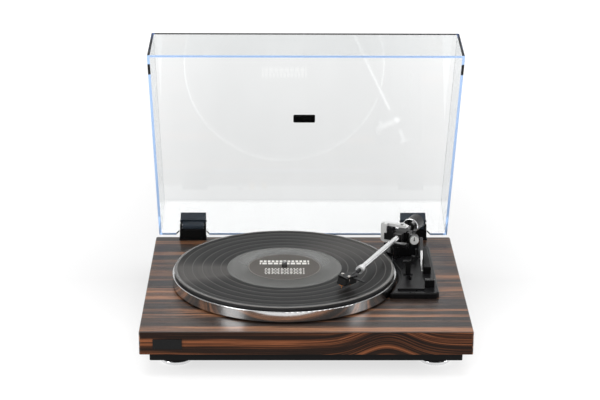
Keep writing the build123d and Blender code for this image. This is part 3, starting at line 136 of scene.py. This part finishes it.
def ramp(tree, factor, stops):
    """A colour ramp through (position, colour) stops."""
    made = tree.nodes.new("ShaderNodeValToRGB")
    elements = made.color_ramp.elements
    while len(elements) < len(stops):
        elements.new(0.5)
    for element, (position, colour) in zip(elements, stops):
        element.position = position
        element.color = (*colour, 1.0)
    tree.links.new(factor, made.inputs["Fac"])
    return made.outputs["Color"]


def spread(tree, factor, low, high, start=0.0, end=1.0):
    """Maps a factor from start..end to low..high."""
    made = tree.nodes.new("ShaderNodeMapRange")
    made.inputs["From Min"].default_value = start
    made.inputs["From Max"].default_value = end
    made.inputs["To Min"].default_value = low
    made.inputs["To Max"].default_value = high
    tree.links.new(factor, made.inputs["Value"])
    return made.outputs["Result"]


def calc(tree, operation, first, second=0.0):
    """One arithmetic step on sockets or numbers."""
    made = tree.nodes.new("ShaderNodeMath")
    made.operation = operation
    feed(tree, made.inputs, (first, second))
    return made.outputs["Value"]


def scaled(tree, value, factor, shift=0.0):
    """value * factor + shift."""
    return calc(tree, "ADD", calc(tree, "MULTIPLY", value, factor), shift)


def within(tree, value, low, high):
    """1 where a value lies between two limits."""
    over, under = calc(tree, "GREATER_THAN", value, low), calc(tree, "LESS_THAN", value, high)
    return calc(tree, "MULTIPLY", over, under)


def distance(tree, first, second):
    """The length of a step along two axes."""
    squares = [calc(tree, "MULTIPLY", part, part) for part in (first, second)]
    return calc(tree, "SQRT", calc(tree, "ADD", *squares))


def mix(tree, factor, first, second, blend="MIX"):
    """Mixes two colours."""
    made = tree.nodes.new("ShaderNodeMix")
    made.data_type = "RGBA"
    made.blend_type = blend
    # This node has one set of sockets for each data type: 6, 7 and 2 are the colours and their result
    feed(tree, (made.inputs[0], made.inputs[6], made.inputs[7]), (factor, first, second))
    return made.outputs[2]


def bump(tree, shader, height, strength, distance):
    """Feeds a height into the shader's normal."""
    made = tree.nodes.new("ShaderNodeBump")
    made.inputs["Strength"].default_value = strength
    made.inputs["Distance"].default_value = distance
    tree.links.new(height, made.inputs["Height"])
    tree.links.new(made.outputs["Normal"], shader.inputs["Normal"])


def plain(name, colour, roughness, metallic=0.0, grain=700.0, bumpy=0.15, vary=0.25, specular=0.15):
    """A moulded or painted finish: fine grain in its bump, slow changes in tone and gloss."""
    material, tree, shader = new_material(name)
    vector = coords(tree)
    slow = noise(tree, vector, 28.0, 5.0)
    fine = noise(tree, vector, grain, 3.0)
    dark = tuple(c * (1 - vary) for c in colour)
    light = tuple(min(1.0, c * (1 + vary)) for c in colour)
    tree.links.new(ramp(tree, slow, [(0.3, dark), (0.7, light)]), shader.inputs["Base Color"])
    tree.links.new(spread(tree, slow, roughness * 0.8, roughness * 1.2, 0.3, 0.7), shader.inputs["Roughness"])
    shader.inputs["Metallic"].default_value = metallic
    shader.inputs["Specular IOR Level"].default_value = 0.5 if metallic else specular
    bump(tree, shader, fine, bumpy, 0.0002)
    return material


def turned(name, colour, roughness, metallic, rings, bumpy, specular=0.2):
    """Turned metal or moulding: fine rings round the object's own Z."""
    material, tree, shader = new_material(name)
    vector = coords(tree)
    x, y, z = split(tree, vector)
    lines = noise(tree, joined(tree, distance(tree, x, y), z), rings, 3.0, 0.6)
    slow = noise(tree, vector, 40.0, 3.0)
    shade = calc(tree, "ADD", calc(tree, "MULTIPLY", lines, 0.6), calc(tree, "MULTIPLY", slow, 0.4))
    dark = tuple(c * 0.86 for c in colour)
    tree.links.new(ramp(tree, shade, [(0.35, dark), (0.65, colour)]), shader.inputs["Base Color"])
    gloss = spread(tree, shade, roughness * 0.75, roughness * 1.3, 0.35, 0.65)
    tree.links.new(gloss, shader.inputs["Roughness"])
    shader.inputs["Metallic"].default_value = metallic
    shader.inputs["Specular IOR Level"].default_value = 0.5 if metallic else specular
    bump(tree, shader, lines, bumpy, 0.0001)
    return material


# Veneer: dark streaks along the width, orange-brown ones between, and one arched figure on the front.
# SIDE_X is where the side faces begin, FIGURE_X the middle of the arch and FIGURE_HALF its half width,
# in metres. Each grain has its streaks per metre of height, the arch's rise and the waviness in metres,
# the share of thin streaks, and a tint; on the front the tint is painted shade, darker and redder than the
# top.
SIDE_X = 0.2146
FIGURE_X, FIGURE_HALF = 0.104, 0.043
DEPTH_WANDER = 0.012
WARP_RATES = (4.0, 9.0, 9.0)
FRONT_GRAIN_AND_SHADE = (170.0, 0.022, 0.012, 0.42, (0.70, 0.52, 0.43))
TOP_GRAIN = (230.0, 0.0, 0.005, 0.28, (0.97, 0.97, 0.97))
PORE_COLOUR = (0.016, 0.010, 0.008)
VENEER_COLOURS = [(0.40, (0.014, 0.010, 0.009)), (0.49, (0.032, 0.020, 0.014)), (0.55, (0.15, 0.068, 0.034)),
                  (0.60, (0.36, 0.165, 0.082)), (0.68, (0.20, 0.088, 0.042))]


def veneer_material(name, front_face=False):
    """Streaked veneer, its grain along X and along Y on the two sides.

    The front has the arched figure, is less glossy, and is darker and redder by painted shade.
    """
    material, tree, shader = new_material(name)
    x, y, z = deck_axes(tree)
    side = calc(tree, "GREATER_THAN", calc(tree, "ABSOLUTE", x), SIDE_X)
    across = calc(tree, "SUBTRACT", 1.0, side)
    x = calc(tree, "ADD", calc(tree, "MULTIPLY", x, across), calc(tree, "MULTIPLY", y, side))
    y = calc(tree, "MULTIPLY", y, across)
    fineness, rise, wander, share, tint = FRONT_GRAIN_AND_SHADE if front_face else TOP_GRAIN
    slow = [scaled(tree, part, rate) for part, rate in zip((x, y, z), WARP_RATES)]
    warp = noise(tree, joined(tree, *slow), 1.0, 2.0)
    away = scaled(tree, x, 1 / FIGURE_HALF, -FIGURE_X / FIGURE_HALF)
    bell = calc(tree, "EXPONENT", scaled(tree, calc(tree, "MULTIPLY", away, away), -1.0))
    arch = calc(tree, "SUBTRACT", z, scaled(tree, bell, rise))
    waved = calc(tree, "ADD", arch, scaled(tree, warp, wander))
    depth = calc(tree, "ADD", y, scaled(tree, warp, DEPTH_WANDER))

    def streaks(along, shift, across_depth, across_height, *look):
        """Noise drawn out along the grain: rates per metre along it, over the depth and over the height."""
        place = joined(tree, scaled(tree, x, along, shift), scaled(tree, depth, across_depth),
                       scaled(tree, waved, across_height))
        return noise(tree, place, 1.0, *look)

    wide = streaks(0.9, 0.0, 78.0, fineness, 6.0, 0.66, 0.25)
    thin = streaks(2.6, 3.1, 240.0, 800.0, 3.0, 0.6)
    pores = streaks(30.0, 0.0, 1500.0, 1500.0, 2.0)
    both = calc(tree, "ADD", scaled(tree, wide, 1 - share), scaled(tree, thin, share))
    colour = ramp(tree, both, VENEER_COLOURS)
    pored = mix(tree, spread(tree, pores, 0.0, 0.6, 0.5, 0.75), colour, PORE_COLOUR)
    # Painted shade: the front's tint darkens and reddens the same veneer as the top
    tinted = mix(tree, 1.0, pored, tint, "MULTIPLY")
    tree.links.new(tinted, shader.inputs["Base Color"])
    tree.links.new(spread(tree, pores, 0.26, 0.42, 0.3, 0.7), shader.inputs["Roughness"])
    shader.inputs["Specular IOR Level"].default_value = 0.1 if front_face else 0.5
    bump(tree, shader, pores, 0.12, 0.0002)
    return material


# Record: radii in metres of its run-out, its bead and the gaps between its tracks
RUN_OUT, BEAD, RECORD_EDGE = 0.0785, 0.1463, 0.1503
GAP_HALF = 0.0006
GAPS = (0.1385, 0.126, 0.1125, 0.0995, 0.087)

# Its wedges of painted sheen, turning with the record: middle, sharpness and strength. Its colours: dark
# vinyl, painted sheen, and painted reflection where flat
PAINTED_SHEENS = ((math.radians(190), 34.0, 1.7), (math.radians(42), 7.0, 0.8))
DARK_VINYL = [(0.35, (0.006, 0.006, 0.006)), (0.7, (0.009, 0.0088, 0.0085))]
PAINTED_SHEEN_VINYL = [(0.35, (0.05, 0.047, 0.045)), (0.7, (0.085, 0.079, 0.074))]
# Painted reflection: the track gaps, the flat run-out and the bead are black vinyl painted paler
GAP_PAINTED_REFLECTION, FLAT_PAINTED_REFLECTION, BEAD_PAINTED_REFLECTION = (0.11, 0.105, 0.1), (0.075, 0.075, 0.070), (0.12, 0.115, 0.11)


def vinyl_material(name, polished=False):
    """Grooves with two wedges of painted sheen, and painted reflection that pales the gaps between tracks,
    the run-out and the bead; polished is the run-out and the bead.
    """
    material, tree, shader = new_material(name)
    x, y, _ = split(tree, coords(tree))
    radius = distance(tree, x, y)
    line = joined(tree, radius, 0.0)
    bands = noise(tree, line, 160.0, 4.0, 0.65)
    fine = noise(tree, line, 2500.0, 2.0)
    angle = calc(tree, "ARCTAN2", y, x)
    # Painted sheen: bright wedges in the base colour at fixed angles round the record
    painted_sheen = None
    for middle, power, strength in PAINTED_SHEENS:
        lobe = calc(tree, "MAXIMUM", calc(tree, "COSINE", scaled(tree, angle, 1.0, -middle)), 0.0)
        lobe = scaled(tree, calc(tree, "POWER", lobe, power), strength)
        painted_sheen = lobe if painted_sheen is None else calc(tree, "ADD", painted_sheen, lobe)
    colour = mix(tree, painted_sheen, ramp(tree, bands, DARK_VINYL), ramp(tree, bands, PAINTED_SHEEN_VINYL))
    # Painted reflection: pale rings on the gaps between tracks
    for gap in GAPS:
        line_mask = scaled(tree, within(tree, radius, gap - GAP_HALF, gap + GAP_HALF), 0.7)
        colour = mix(tree, line_mask, colour, GAP_PAINTED_REFLECTION)
    flat = calc(tree, "LESS_THAN", radius, RUN_OUT)
    bead = within(tree, radius, BEAD, RECORD_EDGE)
    # Painted reflection: paler run-out and bead
    colour = mix(tree, flat, colour, FLAT_PAINTED_REFLECTION)
    colour = mix(tree, bead, colour, BEAD_PAINTED_REFLECTION)
    tree.links.new(colour, shader.inputs["Base Color"])
    smooth = calc(tree, "MAXIMUM", flat, bead)
    gloss = mix(tree, smooth, spread(tree, bands, 0.34, 0.42, 0.35, 0.7), (0.24, 0.24, 0.24))
    tree.links.new(gloss, shader.inputs["Roughness"])
    shader.inputs["Specular IOR Level"].default_value = 0.42 if polished else 0.11
    grooves = calc(tree, "MULTIPLY", fine, calc(tree, "SUBTRACT", 1.0, smooth))
    bump(tree, shader, grooves, 0.08, 0.0001)
    return material


# Label, in metres from its middle: its ring, and for each set of rows the width and height of a block,
# the gap between blocks, and the set's left, right, low and high
LABEL_RING = (0.0484, 0.0491)
LABEL_ROWS = ((0.0078, 0.0085, 0.0009, -0.034, 0.034, 0.0085, 0.0255),
              (0.0061, 0.0048, 0.0011, -0.027, 0.027, -0.0288, -0.0048))


def label_material(name):
    """Dark paper with a pale ring at its edge and two sets of rows of plain pale blocks."""
    material, tree, shader = new_material(name)
    x, y, _ = deck_axes(tree)
    x = scaled(tree, x, 1.0, -PLATTER[0] * MM)
    y = scaled(tree, y, 1.0, -PLATTER[1] * MM)
    radius = distance(tree, x, y)
    place = joined(tree, x, y)
    fibres = noise(tree, place, 900.0, 4.0)
    colour = ramp(tree, fibres, [(0.35, (0.075, 0.066, 0.058)), (0.7, (0.105, 0.096, 0.087))])
    pale = scaled(tree, within(tree, radius, *LABEL_RING), 0.3)
    for width, row, gap, left, right, low, high in LABEL_ROWS:
        bricks = tree.nodes.new("ShaderNodeTexBrick")
        bricks.offset = 0.37
        bricks.squash = 0.7
        for key, value in (("Scale", 1.0), ("Mortar Size", gap), ("Mortar Smooth", 0.1), ("Bias", 0.0),
                           ("Brick Width", width), ("Row Height", row)):
            bricks.inputs[key].default_value = value
        tree.links.new(place, bricks.inputs["Vector"])
        inside = calc(tree, "MULTIPLY", within(tree, x, left, right), within(tree, y, low, high))
        block = calc(tree, "MULTIPLY", inside, calc(tree, "SUBTRACT", 1.0, bricks.outputs["Fac"]))
        pale = calc(tree, "MAXIMUM", pale, block)
    colour = mix(tree, scaled(tree, pale, 0.85), colour, (0.85, 0.84, 0.80))
    tree.links.new(colour, shader.inputs["Base Color"])
    tree.links.new(spread(tree, fibres, 0.5, 0.65, 0.35, 0.7), shader.inputs["Roughness"])
    shader.inputs["Specular IOR Level"].default_value = 0.3
    bump(tree, shader, fibres, 0.1, 0.0001)
    return material


# Knob, in metres from its middle: half width and ends of its mark, radius of the dot, radius of the face
KNOB_MARK = (0.0006, 0.0005, 0.0048)
KNOB_DOT, KNOB_FACE = 0.0011, 0.0061


def knob_material(name):
    """Turned pale face with a small dark mark from its middle to its edge."""
    material, tree, shader = new_material(name)
    x, _, z = deck_axes(tree)
    x = scaled(tree, x, 1.0, -KNOB[0] * MM)
    z = scaled(tree, z, 1.0, -KNOB[1] * MM)
    radius = distance(tree, x, z)
    rings = noise(tree, joined(tree, radius, 0.0), 2500.0, 3.0)
    face = ramp(tree, rings, [(0.35, (0.78, 0.78, 0.76)), (0.7, (0.92, 0.92, 0.90))])
    half, inner, outer = KNOB_MARK
    mark = calc(tree, "MULTIPLY", within(tree, x, -half, half), within(tree, z, inner, outer))
    mark = calc(tree, "MAXIMUM", mark, calc(tree, "LESS_THAN", radius, KNOB_DOT))
    edge = calc(tree, "GREATER_THAN", radius, KNOB_FACE)
    colour = mix(tree, mark, face, (0.02, 0.02, 0.02))
    tree.links.new(mix(tree, edge, colour, (0.10, 0.10, 0.10)), shader.inputs["Base Color"])
    shader.inputs["Metallic"].default_value = 0.35
    tree.links.new(spread(tree, rings, 0.3, 0.42, 0.35, 0.7), shader.inputs["Roughness"])
    bump(tree, shader, rings, 0.05, 0.0001)
    return material


def acrylic_material(name):
    """Clear acrylic with faint marks in its tint, painted pale blue light on its rim, and pale blue along its
    sheets.
    """
    material, tree, shader = new_material(name)
    marks = noise(tree, coords(tree, (9.0, 3.0, 3.0)), 3.0, 6.0)
    shader.inputs["Roughness"].default_value = 0.0
    tint = ramp(tree, marks, [(0.3, (0.915, 0.915, 0.905)), (0.7, (0.93, 0.93, 0.92))])
    shader.inputs["IOR"].default_value = 1.49
    _, y, z = deck_axes(tree)
    height = calc(tree, "ADD", scaled(tree, y, LID_NORMAL.y), scaled(tree, z, LID_NORMAL.z))
    # Painted light: the rim is painted pale blue and mostly opaque, for light seen through the sheet edge-on
    painted_rim_light = calc(tree, "LESS_THAN", height, LID_RIM + PAINTED_RIM_LIGHT_DEPTH)
    tree.links.new(mix(tree, painted_rim_light, tint, (0.42, 0.60, 0.92)), shader.inputs["Base Color"])
    tree.links.new(spread(tree, painted_rim_light, 1.0, 0.25), shader.inputs["Transmission Weight"])
    depth = tree.nodes.new("ShaderNodeVolumeAbsorption")
    depth.inputs["Color"].default_value = (0.50, 0.74, 1.0, 1.0)
    depth.inputs["Density"].default_value = 11.0
    tree.links.new(depth.outputs["Volume"], tree.nodes["Material Output"].inputs["Volume"])
    return material


# One finish for each material slot: colour, roughness, metallic, grain or rings per metre, then how strong
# they are and, for a plain finish, how far its tone varies
MATS = {
    "veneer": veneer_material("veneer"),
    "black_plastic": plain("black_plastic", (0.005, 0.005, 0.0052), 0.45, specular=0.1),
    "steel": plain("steel", (0.55, 0.55, 0.56), 0.32, 1.0, 1200.0, 0.1, 0.08),
    "black_steel": plain("black_steel", (0.03, 0.03, 0.032), 0.35, 0.9),
    "chrome": plain("chrome", (0.83, 0.83, 0.84), 0.09, 1.0, 500.0, 0.02, 0.04),
    "chrome_tube": turned("chrome_tube", (0.88, 0.88, 0.88), 0.16, 0.85, 900.0, 0.03),
    "gloss_black": plain("gloss_black", (0.005, 0.005, 0.0052), 0.14, 0.0, 300.0, 0.02, specular=0.15),
    "brass": turned("brass", (0.78, 0.58, 0.28), 0.25, 1.0, 900.0, 0.05),
    "brass_screws": plain("brass_screws", (0.82, 0.79, 0.74), 0.2, 1.0, 900.0, 0.05, 0.1),
    "pale_plastic": plain("pale_plastic", (0.72, 0.7, 0.64), 0.5, vary=0.05),
    "rubber": plain("rubber", (0.02, 0.02, 0.021), 0.75, grain=1500.0, bumpy=0.3),
    "black_metal": plain("black_metal", (0.007, 0.007, 0.0075), 0.3, 0.0, 1400.0, 0.1),
    "grey_metal": plain("grey_metal", (0.11, 0.11, 0.115), 0.32, 0.6, 1400.0, 0.1),
    "board": plain("board", (0.02, 0.14, 0.05), 0.35, vary=0.2),
    "aluminium": turned("aluminium", (0.66, 0.66, 0.66), 0.11, 1.0, 1100.0, 0.03),
    "mat_rubber": turned("mat_rubber", (0.03, 0.03, 0.031), 0.7, 0.0, 420.0, 0.5),
    "vinyl": vinyl_material("vinyl"),
    "label_paper": label_material("label_paper"),
    "clear_acrylic": acrylic_material("clear_acrylic"),
    "silver_metal": plain("silver_metal", (0.8, 0.8, 0.81), 0.22, 1.0, 1300.0, 0.08, 0.06),
    "cartridge_black": plain("cartridge_black", (0.012, 0.012, 0.012), 0.28),
    "stylus_amber": plain("stylus_amber", (0.42, 0.16, 0.05), 0.3, vary=0.2),
    "weight_black": turned("weight_black", (0.03, 0.03, 0.031), 0.3, 0.0, 700.0, 0.1),
    "grip_rubber": plain("grip_rubber", (0.07, 0.07, 0.072), 0.4, grain=1200.0),
}
for row in frame["record"]["subparts"]:
    materials = frame["nodes"][row["node"]].data.materials
    materials.clear()
    materials.append(MATS[row["material_slot"]])

# The plinth's front face
plinth = frame["nodes"]["plinth"].data
# The front face gets the veneer's copy with painted shade
plinth.materials.append(veneer_material("veneer_front_painted_shade", True))
for face in plinth.polygons:
    if face.normal.y < -0.9 and face.center.y < ORIGIN.y + MM:
        face.material_index = 1

# Parts whose look in the photograph differs from their slot's common finish
for name, finish in (("antiskate_knob", knob_material("knob_face")),
                     ("spindle", plain("spindle_steel", (0.14, 0.14, 0.14), 0.2, 1.0)),
                     ("gimbal_frame",
                      plain("frame_silver", (0.78, 0.78, 0.77), 0.3, 0.45, 1300.0, 0.05, 0.05)),
                     ("tube_collar",
                      plain("collar_silver", (0.82, 0.82, 0.82), 0.25, 0.4, 1300.0, 0.03, 0.04)),
                     ("cue_lever", plain("lever_chrome", (0.85, 0.85, 0.85), 0.2, 0.4, 900.0, 0.02, 0.04)),
                     ("control_rail", plain("rail_black", (0.004, 0.004, 0.004), 0.4, specular=0.08)),
                     ("lid_clips", plain("clip_black", (0.026, 0.034, 0.045), 0.4))):
    frame["nodes"][name].data.materials[0] = finish


# Mesh helpers


def piece(name, mesh, body, slot, replaced, matrix=None, sharp=35.0):
    """Puts a mesh into the scene as a piece of the object."""
    made = bpy.data.objects.new(name, mesh)
    bpy.context.scene.collection.objects.link(made)
    if matrix is not None:
        made.matrix_world = matrix
    for face in mesh.polygons:
        face.use_smooth = True
    mesh.set_sharp_from_angle(angle=math.radians(sharp))
    mesh.materials.append(MATS[slot])
    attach(made, body)
    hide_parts(*replaced)
    return made


def lathe_mesh(name, profile, segments):
    """Turns a closed outline of (radius, height) points in millimetres round Z."""
    shape = bmesh.new()
    rings = []
    for radius, height in profile:
        ring = []
        for step in range(segments):
            turn = 2 * math.pi * step / segments
            spot = Vector((radius * math.cos(turn), radius * math.sin(turn), height)) * MM
            ring.append(shape.verts.new(spot))
        rings.append(ring)
    for low, high in zip(rings, rings[1:] + rings[:1]):
        for step in range(segments):
            after = (step + 1) % segments
            shape.faces.new((low[step], low[after], high[after], high[step]))
    bmesh.ops.recalc_face_normals(shape, faces=shape.faces)
    mesh = bpy.data.meshes.new(name)
    shape.to_mesh(mesh)
    shape.free()
    return mesh


def placed(point, right, back):
    """A matrix whose X and Y run along two directions, at a point."""
    x, y = Vector(right).normalized(), Vector(back).normalized()
    z = x.cross(y)
    matrix = Matrix((x, y, z)).transposed().to_4x4()
    matrix.translation = point
    return matrix


# Camera, fitted to the photograph: its place, its turns, and its focal length in the photograph's pixels
CAMERA = (-35.43, -2213.07, 919.42)
PITCH, YAW, ROLL = math.radians(18.51), math.radians(0.68), math.radians(0.29)
FOCAL_PX, IMAGE_WIDTH, SENSOR = 1866.67, 600, 36.0
forward = Vector((math.sin(YAW) * math.cos(PITCH), math.cos(YAW) * math.cos(PITCH), -math.sin(PITCH)))
level = Vector((math.cos(YAW), -math.sin(YAW), 0.0))
raised = level.cross(forward)
right = level * math.cos(ROLL) + raised * math.sin(ROLL)
up = raised * math.cos(ROLL) - level * math.sin(ROLL)
camera_data = bpy.data.cameras.new("camera")
camera_data.sensor_width = SENSOR
camera_data.lens = FOCAL_PX / IMAGE_WIDTH * SENSOR
camera_data.clip_end = 50.0
camera = bpy.data.objects.new("camera", camera_data)
bpy.context.scene.collection.objects.link(camera)
camera.matrix_world = placed(at(*CAMERA), right, up)
bpy.context.scene.camera = camera
bpy.context.scene.view_settings.view_transform = "Standard"

# Floor: half its side in metres. Its glow grows away from the part, in front of it and beside it, so that
# it stays white in the photo's view; each glow has its strength at the two ends of a stretch, and the
# stretch in metres
FLOOR = 12.0
GLOW_AWAY = (0.50, 1.02, 0.4, 2.6)
GLOW_AHEAD = (0.26, 0.02, -0.25, 0.15)
GLOW_BESIDE = (0.0, 0.16, 0.15, 0.4)
floor_mesh = bpy.data.meshes.new("floor")
corners = [(x * FLOOR, y * FLOOR, 0) for x, y in ((-1, -1), (1, -1), (1, 1), (-1, 1))]
floor_mesh.from_pydata(corners, [], [(0, 1, 2, 3)])
floor = bpy.data.objects.new("floor", floor_mesh)
bpy.context.scene.collection.objects.link(floor)
floor_material, floor_tree, floor_shader = new_material("floor")
floor_shader.inputs["Base Color"].default_value = (0.3, 0.3, 0.3, 1)
floor_shader.inputs["Roughness"].default_value = 0.9
floor_shader.inputs["Specular IOR Level"].default_value = 0.0
floor_shader.inputs["Emission Color"].default_value = (1, 1, 1, 1)
reach = floor_tree.nodes.new("ShaderNodeVectorMath")
reach.operation = "LENGTH"
floor_tree.links.new(coords(floor_tree), reach.inputs[0])
floor_x, floor_y, _ = split(floor_tree, coords(floor_tree))
glow = spread(floor_tree, reach.outputs["Value"], *GLOW_AWAY)
ahead = spread(floor_tree, floor_y, *GLOW_AHEAD)
beside = spread(floor_tree, calc(floor_tree, "ABSOLUTE", floor_x), *GLOW_BESIDE)
glow = calc(floor_tree, "ADD", glow, calc(floor_tree, "ADD", ahead, beside))
floor_tree.links.new(glow, floor_shader.inputs["Emission Strength"])
floor_mesh.materials.append(floor_material)

# World: white where it is seen directly or through the lid, dimmer as light, and in mirrored light dim in
# front of the part and brighter behind it
AS_LIGHT = (0.52, 0.52, 0.52)
MIRRORED = (0.3, 0.72, -0.1, 0.9)
world = bpy.data.worlds.new("studio")
bpy.context.scene.world = world
world.use_nodes = True
world_tree = world.node_tree
background = world_tree.nodes["Background"]
background.inputs["Color"].default_value = (1, 1, 1, 1)
path = world_tree.nodes.new("ShaderNodeLightPath")
seen = calc(world_tree, "MAXIMUM", path.outputs["Is Camera Ray"], path.outputs["Is Transmission Ray"])
sky = world_tree.nodes.new("ShaderNodeTexCoord")
back = split(world_tree, sky.outputs["Generated"])[1]
mirrored = spread(world_tree, back, *MIRRORED)
mirrored = joined(world_tree, mirrored, mirrored, mirrored)
soft = mix(world_tree, path.outputs["Is Glossy Ray"], AS_LIGHT, mirrored)
world_tree.links.new(mix(world_tree, seen, soft, (1.0, 1.0, 1.0)), background.inputs["Strength"])


def area(name, spot, target, width, height, power):
    """A soft box of light aimed at a point."""
    data = bpy.data.lights.new(name, "AREA")
    data.shape = "RECTANGLE"
    data.size = width
    data.size_y = height
    data.energy = power
    made = bpy.data.objects.new(name, data)
    bpy.context.scene.collection.objects.link(made)
    made.location = Vector(spot)
    made.rotation_euler = (Vector(target) - Vector(spot)).to_track_quat("-Z", "Y").to_euler()


# Lamps: name, place and target in metres, width, height, watts
for lamp in (("top_box", (0.0, 0.1, 1.9), (0, 0, 0), 2.2, 1.6, 26),
             ("left_box", (-1.5, -1.17, 0.75), (0, 0, 0.05), 0.7, 1.2, 16),
             ("right_box", (1.8, -0.4, 0.9), (0, 0, 0.05), 0.7, 1.4, 10)):
    area(*lamp)

# The record's own mesh: lead-in bead, grooves in bands, run-out
RECORD_SEGMENTS = 256


def record_profile():
    """Radius and height in millimetres: out over the record's upper side, then back to its lower side."""
    top, grooves, base = 21.2, 20.95, 19.2
    hole, label_edge, run_out, lead_in, edge = 3.64, 51.0, 78.0, 145.6, 150.5
    gap_floor, gap_half, gap_slope = grooves - 0.03, 0.6, 0.3
    points = [(hole, base), (hole, top), (label_edge, top), (label_edge + 0.4, grooves), (run_out, grooves)]
    for middle in sorted(gap / MM for gap in GAPS):
        inner, outer = middle - gap_half, middle + gap_half
        points += [(inner - gap_slope, grooves), (inner, gap_floor)]
        points += [(outer, gap_floor), (outer + gap_slope, grooves)]
    points += [(lead_in, grooves), (lead_in + 1.0, top), (edge - 0.8, top), (edge - 0.2, top - 0.4)]
    points += [(edge, top - 1.0), (edge - 0.2, base + 0.4), (edge - 0.8, base)]
    return points


spin = placed(at(*PLATTER, 0), (1, 0, 0), (0, 1, 0))
disc_mesh = lathe_mesh("record_disc", record_profile(), RECORD_SEGMENTS)
disc = piece("record_disc", disc_mesh, "platter_body", "vinyl", ("record",), spin, 60)
disc.data.materials.append(vinyl_material("vinyl_polished", True))
for face in disc.data.polygons:
    if not RUN_OUT < math.hypot(face.center.x, face.center.y) < BEAD:
        face.material_index = 1

# Feet: chromed rings, rounded over their whole height, in millimetres above the ground
FOOT_SEGMENTS = 72
FOOT_RING = [(18.0, 0.8), (19.9, 0.7), (20.6, 1.3), (20.8, 2.4),
             (20.8, 4.2), (20.6, 5.2), (19.9, 5.8), (18.0, 5.8)]
rings = bmesh.new()
for spot in FEET:
    one = lathe_mesh("one_ring", FOOT_RING, FOOT_SEGMENTS)
    one.transform(Matrix.Translation(at(*spot, FOOT_BASE)))
    rings.from_mesh(one)
    bpy.data.meshes.remove(one)
ring_mesh = bpy.data.meshes.new("foot_rings_turned")
rings.to_mesh(ring_mesh)
rings.free()
piece("foot_rings_turned", ring_mesh, "chassis", "chrome", ("foot_rings",), sharp=50)
